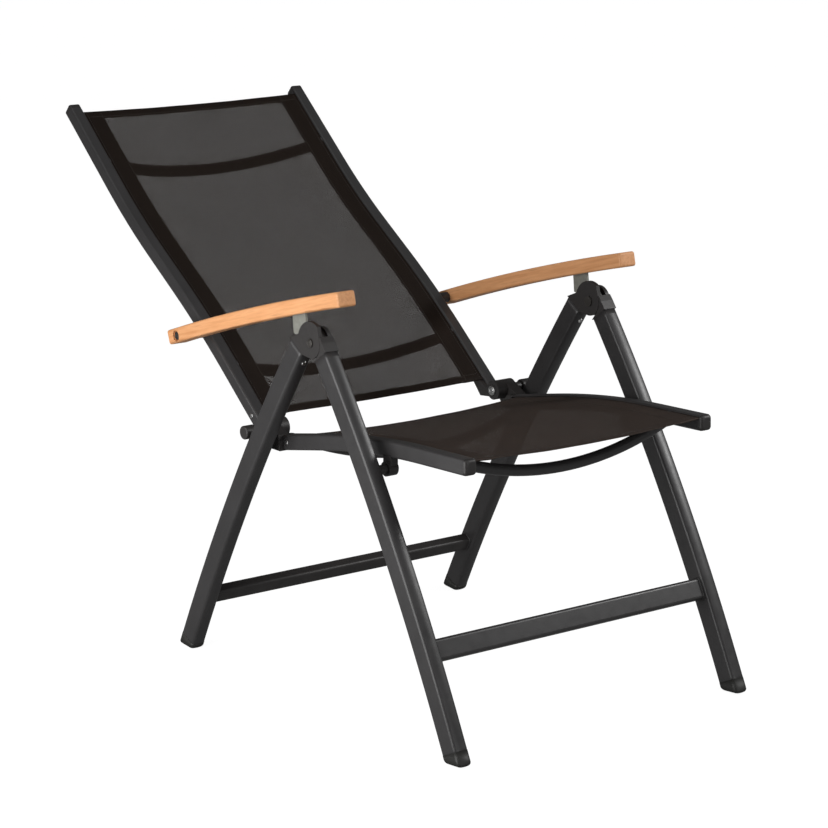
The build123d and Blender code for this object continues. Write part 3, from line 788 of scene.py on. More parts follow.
@dataclass(frozen=True)
class OiledTeak:
    """Oiled teak with long wavering grain, pores and a little figure."""

    name: str = "oiled_teak"
    light: Colour = (0.80, 0.40, 0.185)
    middle: Colour = (0.66, 0.30, 0.125)
    dark: Colour = (0.36, 0.135, 0.05)
    tilt: float = -0.277
    edge: float = 0.001
    edge_share: float = 0.25
    wander_stretch: Place = (6.0, 1.6, 6.0)
    wander: Grain = Grain(1.0)
    wander_across: float = 0.016
    wander_up: float = 0.012
    ring_stretch: Place = (1.0, 0.055, 1.0)
    rings: Grain = Grain(210.0, 3.0, 0.55)
    early_wood: Ramp = Ramp(0.36, 0.62)
    late_wood: Ramp = Ramp(0.60, 0.74, 0.0, 0.5)
    pore_stretch: Place = (1.0, 0.02, 1.0)
    pores: Grain = Grain(1700.0, 3.0, 0.6)
    pore_ramp: Ramp = Ramp(0.56, 0.8, 0.0, 0.42)
    figure_stretch: Place = (1.0, 0.3, 1.0)
    figure: Grain = Grain(22.0, 4.0, 0.55)
    figure_ramp: Ramp = Ramp(0.35, 0.75, 0.0, 0.28)
    figure_light: float = 1.12
    gloss_ramp: Ramp = Ramp(0.3, 0.75, 0.40, 0.56)
    ring_relief: float = 0.4
    pore_relief: float = 0.6
    depth: float = 0.0001
    strength: float = 0.6
    specular: float = 0.4

    def material(self) -> Finish:
        """Builds the finish.

        Returns:
            The material.
        """
        n = MaterialNodes(self.name)
        soft, edge = n.edges(self.edge)
        lie = (self.tilt, 0.0, 0.0)
        wander = n.noise(n.places(self.wander_stretch, lie), self.wander)
        shift = n.add("ShaderNodeCombineXYZ")
        n.feed(shift.inputs["X"], n.maths("MULTIPLY", wander, self.wander_across))
        n.feed(shift.inputs["Z"], n.maths("MULTIPLY", wander, self.wander_up))
        bent = n.add("ShaderNodeVectorMath", operation="ADD")
        n.feed(bent.inputs[0], n.places(self.ring_stretch, lie))
        n.feed(bent.inputs[1], shift.outputs[0])
        rings = n.noise(bent.outputs[0], self.rings)
        pores = n.noise(n.places(self.pore_stretch, lie), self.pores)
        figure = n.noise(n.places(self.figure_stretch, lie), self.figure)
        wood = n.mix(n.spread(rings, self.early_wood), self.middle, self.light)
        wood = n.mix(n.spread(rings, self.late_wood), wood, self.dark)
        wood = n.mix(n.spread(pores, self.pore_ramp), wood, self.dark)
        wood = n.mix(n.spread(figure, self.figure_ramp), wood, shade(self.light, self.figure_light))
        wood = n.mix(n.maths("MULTIPLY", edge, self.edge_share), wood, self.light)
        relief = n.maths("ADD", n.maths("MULTIPLY", rings, self.ring_relief),
                         n.maths("MULTIPLY", pores, self.pore_relief))
        gloss = n.spread(rings, self.gloss_ramp)
        return n.finished(wood, gloss, n.bump(relief, self.depth, self.strength, soft), self.specular)


@dataclass(frozen=True)
class Metal:
    """Bare or coated metal with fine brushing and handling marks."""

    name: str
    base: Colour
    roughness: float
    metallic: float = 1.0
    edge: float = 0.0005
    edge_share: float = 0.5
    edge_light: float = 1.45
    brush_stretch: Place = (1.0, 0.04, 0.4)
    brushing: Grain = Grain(900.0, 3.0, 0.6)
    gloss_ramp: Ramp = Ramp(0.25, 0.75, -0.06, 0.1)
    marks: Grain = Grain(120.0, 5.0, 0.65)
    mark_ramp: Ramp = Ramp(0.3, 0.75)
    mark_dark: float = 0.84
    mark_light: float = 1.1
    depth: float = 0.00003
    strength: float = 0.5

    def material(self) -> Finish:
        """Builds the finish.

        Returns:
            The material.
        """
        n = MaterialNodes(self.name)
        soft, edge = n.edges(self.edge)
        brushing = n.noise(n.places(self.brush_stretch), self.brushing)
        marks = n.spread(n.noise(n.places(), self.marks), self.mark_ramp)
        body = n.mix(marks, shade(self.base, self.mark_dark), shade(self.base, self.mark_light))
        colour = n.mix(n.maths("MULTIPLY", edge, self.edge_share), body, shade(self.base, self.edge_light))
        gloss = n.spread(brushing, self.gloss_ramp.about(self.roughness))
        n.shader.inputs["Metallic"].default_value = self.metallic
        return n.finished(colour, gloss, n.bump(brushing, self.depth, self.strength, soft))


@dataclass
class ChairLines:
    """The side view that the chair's pieces follow, measured in the part's frame."""

    hinge_y: float = -210.37
    hinge_z: float = 577.0
    back_hinge: Point2 = (-27.022, 402.108)
    rail_inner: float = 221.0
    leg_inner: float = 265.0
    leg_outer: float = 290.0
    front_foot_reach: float = 351.6
    front_top_reach: float = 10.1
    front_bow: float = -16.1
    rear_foot_reach: float = 370.9
    rear_top_reach: float = 31.5
    rear_bow: float = 13.5
    seat_reach: float = 499.35
    seat_rise: float = 36.09
    seat_heading: float = -2.0
    seat_runs: Runs = ((107, 0), (250, -8.8), (105, 0))
    back_start: Point2 = (19.4, 21.8)
    back_heading: float = 39.9
    back_runs: Runs = ((131, 0), (184, -6.2), (83, 0), (159, 7.4), (168, 0))

    @property
    def leg_middle(self) -> float:
        """How far the middle of a leg is from the middle of the chair."""
        return (self.leg_inner + self.leg_outer) / 2

    def front_leg(self) -> Route:
        """The front legs' centreline, from the floor up."""
        return Route.bowed((self.hinge_y - self.front_foot_reach, 0),
                           (self.hinge_y - self.front_top_reach, self.hinge_z), self.front_bow)

    def rear_leg(self) -> Route:
        """The rear legs' centreline, from the floor up."""
        return Route.bowed((self.hinge_y + self.rear_foot_reach, 0),
                           (self.hinge_y + self.rear_top_reach, self.hinge_z), self.rear_bow)

    def seat(self) -> Route:
        """The seat rails' centreline, from the front."""
        start = (self.back_hinge[0] - self.seat_reach, self.back_hinge[1] + self.seat_rise)
        return Route(start, self.seat_heading, self.seat_runs)

    def back(self) -> Route:
        """The back rails' centreline, from the bottom."""
        start = Route(self.back_hinge, self.back_heading, ()).place(0, *self.back_start)
        return Route((start.y, start.z), self.back_heading, self.back_runs)


class Workshop:
    """Holds the frame and the finishes, and dresses and hangs each piece."""

    def __init__(self, frame: dict) -> None:
        """Makes every finish.
        """
        self.frame = frame
        self.lines = ChairLines()
        recipes = {
            Slot.POWDER: PowderCoat(),
            Slot.HINGE: MouldedPlastic("black_hinge_nylon", (0.026, 0.0235, 0.0228), roughness=0.44),
            Slot.FOOT: MouldedPlastic("black_foot_plastic", (0.013, 0.0125, 0.0110), roughness=0.50,
                                      pits=1100.0),
            Slot.FABRIC: WovenSling("woven_sling_back"),
            Slot.TEAK: OiledTeak(),
            Slot.BRACKET: Metal("satin_bracket", (0.32, 0.32, 0.285), roughness=0.42, metallic=0.45),
            Slot.STEEL: Metal("bright_zinc", (0.62, 0.62, 0.61), roughness=0.26),
            Slot.DARK_STEEL: Metal("blackened_steel", (0.07, 0.065, 0.06), roughness=0.40, metallic=0.6),
        }
        self.finishes = {slot: recipe.material() for slot, recipe in recipes.items()}

    def dress_frame(self) -> None:
        """Gives every CAD node the finish of its slot in the record."""
        for row in self.frame["record"]["subparts"]:
            data = self.frame["nodes"][row["node"]].data
            data.materials.clear()
            data.materials.append(self.finishes[Slot(row["material_slot"])])
            LOG.info("dressed %s in %s", row["node"], row["material_slot"])

    def hang(self, made: Piece, body: str, slot: Slot, finish: Finish | None = None) -> Piece:
        """Dresses a new piece and lets it ride on its body.

        Args:
            made: the piece.
            body: the CAD body that carries it.
            slot: the record's slot of its finish.
            finish: a finish other than the slot's usual one.

        Returns:
            The same piece.
        """
        made.data.materials.append(finish or self.finishes[slot])
        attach(made, body)
        LOG.info("made %s on %s", made.name, body)
        return made


@dataclass
class Legs:
    """The four bowed legs: box tubes with well rounded corners and slightly crowned narrow faces."""

    width: float = 25.0
    depth: float = 38.0
    corner: float = 5.5
    crown_angle: float = 13.0
    crown_steps: int = 4
    corner_steps: int = 8
    side_strip: float = 1.0
    cap_height: float = 18.0
    cap_wall: float = 0.3
    cap_lip: float = 0.5
    cap_round: float = 7.0
    cap_level: float = 0.8
    inside: float = 6.0
    step: float = 9.0
    front_stop: float = 23.2
    rear_stop: float = 13.0

    def section(self, grow: float = 0.0) -> list[Point2]:
        """The tube's outline, going round once.

        Args:
            grow: how much larger it is all round.

        Returns:
            Pairs of a place across the chair and one across the leg, from its middle.
        """
        tilt = math.radians(self.crown_angle)
        across, radius = self.width / 2 - self.corner, self.corner + grow
        broad = (across + radius * math.sin(tilt)) / math.sin(tilt)
        centre = self.depth / 2 + grow - broad
        shoulder = centre + (broad - radius) * math.cos(tilt)
        quarter = [(broad * math.sin(t), centre + broad * math.cos(t))
                   for t in (tilt * share for share in shares(self.crown_steps)[:-1])]
        quarter += [(across + radius * math.sin(t), shoulder + radius * math.cos(t))
                    for t in (tilt + (math.pi / 2 - tilt) * share for share in shares(self.corner_steps))]
        quarter.append((quarter[-1][0], shoulder - self.side_strip))
        half = quarter + [(x, -h) for x, h in reversed(quarter)]
        return half + [(-x, h) for x, h in reversed(half[1:-1])]

    def tube(self, route: Route, stop: float, middle: float) -> Mesh:
        """One leg from inside its cap to inside its hinge piece.

        Args:
            route: the leg's centreline.
            stop: how far before the hinge height the tube ends.
            middle: the place of the leg's middle across the chair.

        Returns:
            The mesh.
        """
        first, last = route.at_height(self.cap_height) - self.inside, route.length - stop
        section = self.section()
        mesh = Mesh()
        mesh.rows([[route.place(middle + x, first + (last - first) * share, h) for x, h in section]
                   for share in shares(round((last - first) / self.step))], around=True, caps=True)
        return mesh

    def cap(self, route: Route, middle: float) -> Mesh:
        """One foot cap, cut level and rounded where it stands on the floor.

        Args:
            route: the leg's centreline.
            middle: the place of the leg's middle across the chair.

        Returns:
            The mesh.
        """
        y, z, heading = route.state(route.at_height(self.cap_height))
        ankle = Route((y, z), math.degrees(heading), ())
        sole = -z / math.sin(heading)
        slope = self.cap_level / math.tan(heading)
        section = self.section(self.cap_wall)
        rows = [[ankle.place(middle + x, 0, h) for x, h in outline]
                for outline in (self.section(self.cap_wall - self.cap_lip), section)]
        for inset, back in dome(self.cap_round):
            wide, deep = 1 - inset / (self.width / 2), 1 - inset / (self.depth / 2)
            rows.append([ankle.place(middle + wide * x, back + sole + deep * h * slope, deep * h)
                         for x, h in section])
        lowest = min(point.z for row in rows for point in row)
        drop = Vector((0, math.cos(heading), math.sin(heading))) * (lowest / math.sin(heading))
        for row in rows[2:]:
            for point in row:
                point -= drop
        mesh = Mesh()
        mesh.rows(rows, around=True, caps=True)
        return mesh

    def build(self, shop: Workshop) -> None:
        """Makes the legs and their caps.

        Args:
            shop: the workshop.
        """
        for word, route, stop in (("front", shop.lines.front_leg(), self.front_stop),
                                  ("rear", shop.lines.rear_leg(), self.rear_stop)):
            for side in Side:
                middle = side.value * shop.lines.leg_middle
                for kind, mesh, slot in (("leg", self.tube(route, stop, middle), Slot.POWDER),
                                         ("foot_cap", self.cap(route, middle), Slot.FOOT)):
                    made = mesh.piece(f"{word}_{kind}_{side.word}_shown", closed=True)
                    shop.hang(made, f"{word}_frame", slot)
                    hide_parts(f"{word}_{kind}_{side.word}")


@dataclass
class SeatCaps:
    """Domed caps in the front ends of the seat rails."""

    width: float = 22.0
    depth: float = 25.0
    corner: float = 5.5
    corner_steps: int = 7
    reach: float = 6.0
    round_end: float = 5.6

    def build(self, shop: Workshop) -> None:
        """Makes the caps.

        Args:
            shop: the workshop.
        """
        wide, deep = self.width / 2, self.depth / 2
        section = rounded_box(wide, deep, self.corner, self.corner_steps)
        route = shop.lines.seat()
        for side in Side:
            middle = side.value * (shop.lines.rail_inner + wide)
            rows = [[route.place(middle + x, 0.0, h) for x, h in section]]
            for inset, back in dome(self.round_end):
                wider, deeper = 1 - inset / wide, 1 - inset / deep
                rows.append([route.place(middle + x * wider, back - self.reach, h * deeper)
                             for x, h in section])
            mesh = Mesh()
            mesh.rows(rows, around=True, caps=True)
            made = mesh.piece(f"seat_front_cap_{side.word}_shown", closed=True)
            shop.hang(made, "seat", Slot.HINGE)
            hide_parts(f"seat_front_cap_{side.word}")


@dataclass(frozen=True)
class BoxBar:
    """A crossbar where it meets its legs: its height there, and its size along and across them."""

    word: str
    height: float
    face: float
    depth: float


@dataclass(frozen=True)
class BowedTubes:
    """Two bowed tubes where they meet their rails: how far below the rails' line and along it."""

    word: str
    deep: float
    radius: float
    places: tuple[float, float]


@dataclass
class Welds:
    """Weld beads where crossbars and bowed tubes meet the legs and the rails."""

    bars: tuple[BoxBar, ...] = (BoxBar("front", height=153.5, face=34.0, depth=20.0),
                                BoxBar("rear", height=98.5, face=25.0, depth=20.0))
    tubes: tuple[BowedTubes, ...] = (BowedTubes("back", deep=3.4, radius=10.0, places=(606.0, 127.6)),
                                     BowedTubes("seat", deep=0.9, radius=9.0, places=(68.0, 418.0)))
    bead: float = 1.5
    bead_sides: int = 8
    ripple: float = 0.28
    ripple_turn: float = 2.1
    stray: float = 0.5
    points: int = 84
    sunk: float = 0.5
    box_corner: float = 5.0
    corner_steps: int = 5
    tube_stretch: float = 1.05
    seed: int = 7

    def ring(self, mesh: Mesh, loop: Sequence[Vector], draw: random.Random) -> None:
        """One bead round a joint.

        Args:
            mesh: where it is added.
            loop: points round the joint.
            draw: the source of its unevenness.
        """
        middle = sum(loop, Vector()) / len(loop)
        path = []
        for k, point in enumerate(loop):
            swell = math.sin(self.ripple_turn * k) + draw.uniform(-self.stray, self.stray)
            path.append(point + (point - middle).normalized() * self.ripple * swell)
        mesh.tube(path, self.bead, self.bead_sides, closed=True)

    def box_loop(self, end: Vector, heading: float, bar: BoxBar) -> list[Vector]:
        """Points round the end of a crossbar.

        Args:
            end: the middle of its end.
            heading: the leg's way there, in radians.
            bar: the crossbar.

        Returns:
            Evenly spaced points.
        """
        way = Vector((0, math.cos(heading), math.sin(heading)))
        over = Vector((0, math.sin(heading), -math.cos(heading)))
        box = rounded_box(bar.face / 2, bar.depth / 2, self.box_corner, self.corner_steps)
        return self.even([end + u * way + v * over for u, v in box])

    def even(self, loop: Sequence[Vector]) -> list[Vector]:
        """Spaces a closed loop's points evenly.

        Args:
            loop: the loop's corners.

        Returns:
            As many points as a bead has.
        """
        ends = [*loop, loop[0]]
        spans = [(b - a).length for a, b in zip(ends, ends[1:])]
        whole, made, index, gone = sum(spans), [], 0, 0.0
        for k in range(self.points):
            want = whole * k / self.points
            while gone + spans[index] < want:
                gone += spans[index]
                index += 1
            made.append(ends[index].lerp(ends[index + 1], (want - gone) / spans[index]))
        return made

    def build(self, shop: Workshop) -> None:
        """Makes the beads of the crossbars and of the bowed tubes.

        Args:
            shop: the workshop.
        """
        draw = random.Random(self.seed)
        lines = shop.lines
        for bar, route in zip(self.bars, (lines.front_leg(), lines.rear_leg())):
            y, z, heading = route.state(route.at_height(bar.height))
            mesh = Mesh()
            for side in Side:
                end = Vector((side.value * (lines.leg_inner - self.sunk), y, z))
                self.ring(mesh, self.box_loop(end, heading, bar), draw)
            shop.hang(mesh.piece(f"{bar.word}_bar_weld"), f"{bar.word}_frame", Slot.POWDER)
        for tubes, route in zip(self.tubes, (lines.back(), lines.seat())):
            mesh = Mesh()
            for place in tubes.places:
                for side in Side:
                    x = side.value * (lines.rail_inner - self.sunk)
                    loop = [route.place(x, place + tubes.radius * math.cos(t),
                                        tubes.deep + self.tube_stretch * tubes.radius * math.sin(t))
                            for t in turns(self.points)]
                    self.ring(mesh, loop, draw)
            shop.hang(mesh.piece(f"{tubes.word}_tube_welds"), tubes.word, Slot.POWDER)


@dataclass
class Sling:
    """One stretched sling: the woven panel with its turned hems, the stitches and the cords in the rails."""

    word: str
    route: Route
    start: float
    end: float
    deep: float
    sag: float
    finish: WovenSling | None = None
    bead_x: float = 225.0
    bead_gap: float = 4.0
    hem_x: float = 185.0
    wrap: float = 1.7
    layer: float = 1.0
    end_hem: float = 15.0
    ripple: float = 0.22
    ripple_waves: tuple[Point2, Point2] = ((23.0, 61.0), (57.0, 17.0))
    hem_steps: int = 5
    turn_steps: int = 8
    wide_steps: int = 60
    end_steps: int = 3
    fold_steps: int = 6
    step: float = 7.0
    stack_run: float = 9.0
    stack_share: float = 1.9
    under_share: float = 1.05
    cord: float = 1.45
    cord_sides: int = 12
    cord_step: float = 12.0
    seam_inset: float = 2.5
    bead_seam: float = 9.0
    seam_end: float = 3.0
    cross_end: float = 11.0
    stitch_pitch: float = 4.6
    stitch_share: float = 0.40
    stitch_width: float = 0.34
    stitch_height: float = 0.26
    stitch_lift: float = 0.18
    stitch_stray: float = 0.05
    thread: Colour = (0.05, 0.043, 0.037)
    thread_roughness: float = 0.62
    thread_pits: float = 5200.0
    seed: int = 11

    def lie(self, x: float, place: float, lift: float) -> Vector:
        """A point of the stretched cloth.

        Args:
            x: the place across.
            place: the distance along the rails.
            lift: how far under the upper layer.

        Returns:
            The point in the part's frame.
        """
        dip = self.sag * max(0.0, 1 - (x / self.bead_x) ** 2)
        (first_long, first_wide), (second_long, second_wide) = self.ripple_waves
        wave = math.sin(place / first_long + x / first_wide) * math.sin(place / second_long - x / second_wide)
        return self.route.place(x, place, self.deep + dip + lift - self.layer / 2 + self.ripple * wave)

    def section(self) -> list[tuple[float, float, float]]:
        """The cloth across the chair, from one turned edge round both cords to the other.

        Returns:
            Rows of X, lift and the distance over the cloth.
        """
        edge = self.bead_x - self.bead_gap
        hem = [(self.hem_x + (edge - self.hem_x) * share, self.layer) for share in shares(self.hem_steps)]
        turn = [(self.bead_x + self.wrap * math.sin(t), self.layer / 2 + self.wrap * math.cos(t))
                for t in (math.pi * share for share in shares(self.turn_steps))]
        flat = [(edge * (1 - 2 * share), 0.0) for share in shares(self.wide_steps)]
        return measured(hem + turn + flat + [(-x, lift) for x, lift in reversed(hem + turn)])

    def stations(self) -> list[tuple[float, float, float]]:
        """The cloth along the rails, from one turned end hem to the other.

        Returns:
            Rows of the place, the extra lift and the distance along the cloth.
        """
        bend = self.layer / 2
        whole = self.end - self.start
        under = [(self.start + self.end_hem * (1 - share), self.layer)
                 for share in shares(self.end_steps)[:-1]]
        fold = [(self.start - bend * math.sin(t), bend + bend * math.cos(t))
                for t in (math.pi * share for share in shares(self.fold_steps))]
        main = [(self.start + whole * share, 0.0) for share in shares(round(whole / self.step))[1:-1]]
        far = [(self.end + self.start - place, lift) for place, lift in reversed(under + fold)]
        return measured(under + fold + main + far)

    def panel(self) -> tuple[Piece, tuple[float, float]]:
        """Makes the cloth.

        Returns:
            The panel and the size that it was cut to, in metres.
        """
        section, stations = self.section(), self.stations()
        rows, flat = [], []
        for place, drop, along in stations:
            row = []
            for x, lift, _ in section:
                near_hem = min(1.0, max(0.0, (abs(x) - self.hem_x) / self.stack_run + 1))
                stacked = near_hem * self.stack_share * drop / self.layer
                under = lift > self.layer / 4
                row.append(self.lie(x, place, lift + (drop * self.under_share if under else drop + stacked)))
            rows.append(row)
            flat.append([(over * MM, along * MM) for _, _, over in section])
        mesh = Mesh()
        mesh.rows(rows, around=False, flat=flat)
        return mesh.piece(f"{self.word}_panel"), (section[-1][2] * MM, stations[-1][2] * MM)

    def seams(self) -> list[tuple[Point2, Point2]]:
        """The seams along the side hems and across the end hems.

        Returns:
            Pairs of ends, each a place across and a distance along the rails.
        """
        first, last = self.start + self.seam_end, self.end - self.seam_end
        along = [((sign * x, first), (sign * x, last))
                 for x in (self.hem_x + self.seam_inset, self.bead_x - self.bead_seam) for sign in (-1, 1)]
        wide, margin = self.bead_x - self.cross_end, self.end_hem - self.seam_inset
        return along + [((-wide, place), (wide, place)) for place in (self.start + margin, self.end - margin)]

    def stitches(self) -> Piece:
        """Makes the seams' stitches, over and under the cloth.

        Returns:
            The stitches of all seams as one piece.
        """
        mesh = Mesh()
        size = Vector((self.stitch_pitch * self.stitch_share, self.stitch_width, self.stitch_height))
        draw = random.Random(self.seed)
        for (x0, s0), (x1, s1) in self.seams():
            count = int(math.hypot(x1 - x0, s1 - s0) / self.stitch_pitch)
            ahead = 0.5 / count
            for k in range(count):
                share = (k + 0.5) / count
                x, s = x0 + (x1 - x0) * share, s0 + (s1 - s0) * share
                for lift in (-self.stitch_lift, self.layer + self.stitch_lift):
                    here = self.lie(x, s, lift)
                    there = self.lie(x + (x1 - x0) * ahead, s + (s1 - s0) * ahead, lift)
                    along = (there - here).normalized()
                    across = (here - self.lie(x, s, lift + self.layer)).normalized().cross(along)
                    stray = draw.uniform(-self.stitch_stray, self.stitch_stray)
                    mesh.lens(here, (along + across * stray).normalized(), across, size)
        return mesh.piece(f"{self.word}_stitches")

    def cords(self) -> Piece:
        """Makes the two cords that hold the cloth in the rails' channels.

        Returns:
            Both cords as one piece.
        """
        mesh = Mesh()
        whole = self.end - self.start
        for side in Side:
            path = [self.route.place(side.value * self.bead_x, self.start + whole * share, self.deep)
                    for share in shares(round(whole / self.cord_step))]
            mesh.tube(path, self.cord, self.cord_sides)
        return mesh.piece(f"{self.word}_edge_cords")

    def build(self, shop: Workshop) -> None:
        """Args:
            shop: the workshop.
        """
        panel, cut = self.panel()
        shop.hang(panel, self.word, Slot.FABRIC, self.finish.material() if self.finish else None)
        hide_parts(f"{self.word}_sling")
        thread = MouldedPlastic(f"{self.word}_thread", self.thread, self.thread_roughness,
                                self.thread_pits).material()
        stitches = shop.hang(self.stitches(), self.word, Slot.FABRIC, thread)
        cords = shop.hang(self.cords(), self.word, Slot.FABRIC, thread)
        LOG.info("%s sling cut to %.3f by %.3f m", self.word, *cut)


@dataclass(frozen=True)
class BoltHead:
    """One kind of bolt head: what it is on, its finish and size, and 1 or -1 as it faces out or in."""

    node: str
    body: str
    slot: Slot
    radius: float
    high: float
    outward: int


@dataclass
class HexSockets:
    """Hexagon sockets on the bolt heads: thin collars whose hexagonal holes show the heads below."""

    heads: tuple[BoltHead, ...] = (
        BoltHead("top_hinge_bolts", "front_frame", Slot.DARK_STEEL, radius=4.9, high=0.7, outward=1),
        BoltHead("arm_pivot_bolt", "arm_bolt", Slot.DARK_STEEL, radius=5.2, high=0.7, outward=1),
        BoltHead("hinge_axle_bolt", "hinge_axles", Slot.STEEL, radius=6.2, high=0.8, outward=-1))
    key: float = 2.6
    chamfer: float = 0.35
    sunk: float = 0.2
    points: int = 48

    def loop(self, size: float, rise: float, hexagon: bool) -> list[Place]:
        """One loop of the collar's section.

        Args:
            size: its radius, or a hexagon's half width.
            rise: how far it stands out from the head.
            hexagon: True where it is a hexagon.

        Returns:
            Points round the bolt's axis, with X as the way out.
        """
        sixth = math.pi / 3
        loop = []
        for t in turns(self.points):
            reach = size / math.cos((t + sixth / 2) % sixth - sixth / 2) if hexagon else size
            loop.append((rise, reach * math.cos(t), reach * math.sin(t)))
        return loop

    def collar(self, centre: Vector, out: int, head: BoltHead) -> Mesh:
        """One collar on a head.

        Args:
            centre: the middle of the head's face.
            out: 1 or -1, the way along X that it faces.
            head: the kind of head.

        Returns:
            The mesh.
        """
        edge, radius, high = self.chamfer, head.radius, head.high
        loops = [self.loop(radius, -self.sunk, False), self.loop(radius, high - edge, False),
                 self.loop(radius - edge, high, False), self.loop(self.key + edge, high, True),
                 self.loop(self.key, high - edge, True), self.loop(self.key, -self.sunk, True)]
        rows = [[centre + Vector((out * x, y, z)) for x, y, z in loop] for loop in loops + loops[:1]]
        mesh = Mesh()
        mesh.rows(rows, around=True)
        return mesh

    def build(self, shop: Workshop) -> None:
        """Makes the collars of the top hinge bolts, the arm bolts and the axle bolts.

        Args:
            shop: the workshop.
        """
        for head in self.heads:
            for side in Side:
                out = side.value * head.outward
                node = side.pick(head.node, shop.frame["nodes"])
                low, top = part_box(node)
                x = (top.x if out > 0 else low.x) / MM
                y, z = (low.y + top.y) / 2 / MM, (low.z + top.z) / 2 / MM
                if node == head.node:
                    y, z = shop.lines.hinge_y, shop.lines.hinge_z
                mesh = self.collar(Vector((x, y, z)), out, head)
                made = mesh.piece(f"{head.node}_socket_{side.word}", closed=True)
                shop.hang(made, side.pick(head.body, shop.frame["bodies"]), head.slot)


@dataclass(frozen=True)
class Lamp:
    """One lamp. The size is a sun's angle in degrees, or the width of a square panel."""

    name: str
    kind: LampKind
    place: Place
    target: Place
    power: float
    size: float

    def light(self) -> None:
        """Makes the lamp, looking at its target."""
        data = bpy.data.lights.new(self.name, self.kind.value)
        data.energy = self.power
        if self.kind is LampKind.SUN:
            data.angle = math.radians(self.size)
        else:
            data.shape = "RECTANGLE"
            data.size, data.size_y = self.size, self.size
        made = put(self.name, data)
        made.location = self.place
        made.rotation_mode = "QUATERNION"
        made.rotation_quaternion = (Vector(self.target) - Vector(self.place)).to_track_quat("-Z", "Y")
        made.visible_camera = False


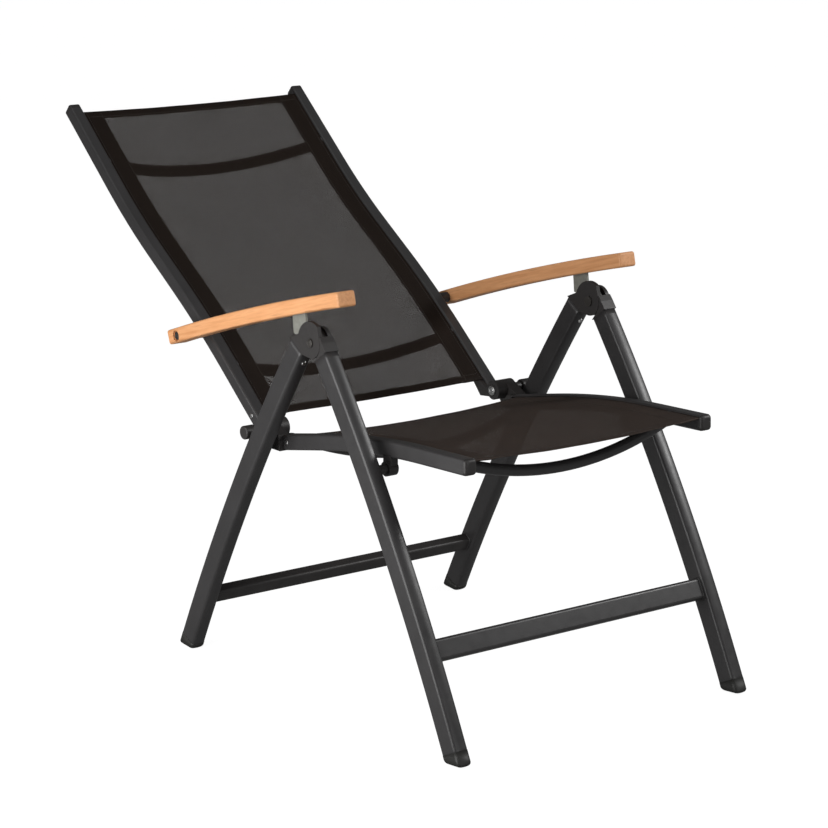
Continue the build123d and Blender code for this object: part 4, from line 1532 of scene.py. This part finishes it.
@dataclass
class Studio:
    """A plain pale floor, soft lamps and the camera at the photograph's angle."""

    eye: Place = (-2.71819, -3.66945, 1.45634)
    azimuth: float = 37.199
    elevation: float = 13.188
    lens: float = 123.76
    sensor: float = 36.0
    nearest: float = 0.05
    farthest: float = 200.0
    floor_half: float = 15.0
    floor_drop: float = 0.0004
    floor_diffuse: float = 0.2
    floor_cloud: Grain = Grain(3.0)
    floor_lighter: float = 1.02
    floor_roughness: float = 0.9
    floor_glow: float = 0.94
    ambient: float = 0.18
    mirrored: float = 0.10
    lamps: tuple[Lamp, ...] = (
        Lamp("key", LampKind.SUN, (-0.6, -1.4, 3.2), (0, 0, 0.4), power=0.4, size=50.0),
        Lamp("front_fill", LampKind.SUN, (0.3, -3.0, 0.9), (0, 0, 0.45), power=0.5, size=30.0),
        Lamp("right_panel", LampKind.PANEL, (-1.35, -0.20, 0.55), (0.0, -0.20, 0.35), power=17.5, size=1.1),
        Lamp("left_panel", LampKind.PANEL, (1.80, -1.45, 1.65), (0.0, -0.40, 0.30), power=24.0, size=0.5))

    def shown(self, n: Nodes, rays: bpy.types.NodeOutputs) -> Socket:
        """How bright the backdrop is for each ray: full where it shows, and low where it is mirrored.

        Args:
            n: the backdrop's nodes.
            rays: the outputs of their light path node.

        Returns:
            The brightness's socket.
        """
        clear = n.maths("MAXIMUM", rays["Is Camera Ray"], rays["Is Transmission Ray"])
        return n.maths("MAXIMUM", clear, n.maths("MULTIPLY", rays["Is Glossy Ray"], self.mirrored))

    def floor(self) -> None:
        """Makes the floor, which glows for the camera and keeps a soft shadow."""
        half, drop = self.floor_half / MM, self.floor_drop / MM
        mesh = Mesh()
        mesh.rows([[Vector((x, y, -drop)) for x in (-half, half)] for y in (-half, half)], around=False)
        made = mesh.piece("studio_floor", smooth=False)
        n = MaterialNodes("pale_floor")
        inputs = n.shader.inputs
        shown = self.shown(n, n.add("ShaderNodeLightPath").outputs)
        n.feed(inputs["Emission Strength"], n.maths("MULTIPLY", shown, self.floor_glow))
        n.feed(inputs["Emission Color"], (1.0, 1.0, 1.0))
        white = (self.floor_diffuse,) * 3
        n.feed(inputs["Base Color"], n.mix(n.noise(n.places(), self.floor_cloud), white,
                                           shade(white, self.floor_lighter)))
        inputs["Roughness"].default_value = self.floor_roughness
        inputs["Specular IOR Level"].default_value = 0.0
        made.data.materials.append(n.material)

    def surroundings(self) -> None:
        """Makes the world: white where it shows, and a plain ambient light elsewhere."""
        world = bpy.data.worlds.new("studio")
        bpy.context.scene.world = world
        world.use_nodes = True
        n = Nodes(world.node_tree)
        back = n.add("ShaderNodeBackground")
        n.feed(back.inputs["Color"], (1.0, 1.0, 1.0))
        rays = n.add("ShaderNodeLightPath").outputs
        plain = n.maths("MULTIPLY", rays["Is Diffuse Ray"], self.ambient)
        n.feed(back.inputs["Strength"], n.maths("MAXIMUM", self.shown(n, rays), plain))
        n.feed(n.add("ShaderNodeOutputWorld").inputs["Surface"], back.outputs[0])

    def camera(self) -> None:
        """Makes the camera that the photograph was taken with."""
        data = bpy.data.cameras.new("photograph")
        data.lens = self.lens
        data.sensor_width = self.sensor
        data.clip_start, data.clip_end = self.nearest, self.farthest
        made = put("photograph", data)
        az, el = math.radians(self.azimuth), math.radians(self.elevation)
        ahead = Vector((math.cos(el) * math.sin(az), math.cos(el) * math.cos(az), -math.sin(el)))
        right = Vector((math.cos(az), -math.sin(az), 0.0))
        turn = Matrix((right, right.cross(ahead), -ahead)).transposed().to_4x4()
        made.matrix_world = Matrix.Translation(self.eye) @ turn
        bpy.context.scene.camera = made

    def build(self) -> None:
        """Sets the whole studio up."""
        self.floor()
        self.surroundings()
        for lamp in self.lamps:
            lamp.light()
        self.camera()
        bpy.context.scene.view_settings.view_transform = "Standard"


def main() -> None:
    """Loads the frame, dresses it and adds what CAD leaves out."""
    logging.basicConfig(level=logging.INFO, format="%(name)s: %(message)s")
    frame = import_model()
    shop = Workshop(frame)
    shop.dress_frame()
    # The seat is the same fabric as the back, with its yarn painted about three times lighter: a painted
    # sheen.
    seat_cloth_painted_sheen = WovenSling("woven_sling_seat", yarn=(0.039, 0.0285, 0.0235), open_share=0.007)
    Legs().build(shop)
    SeatCaps().build(shop)
    Welds().build(shop)
    Sling("back", shop.lines.back(), start=17.0, end=717.0, deep=-7.5, sag=5.0).build(shop)
    Sling("seat", shop.lines.seat(), start=1.0, end=449.0, deep=-9.0, sag=8.0, finish=seat_cloth_painted_sheen).build(shop)
    HexSockets().build(shop)
    Studio().build()
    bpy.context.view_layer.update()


if __name__ == "__main__":
    main()
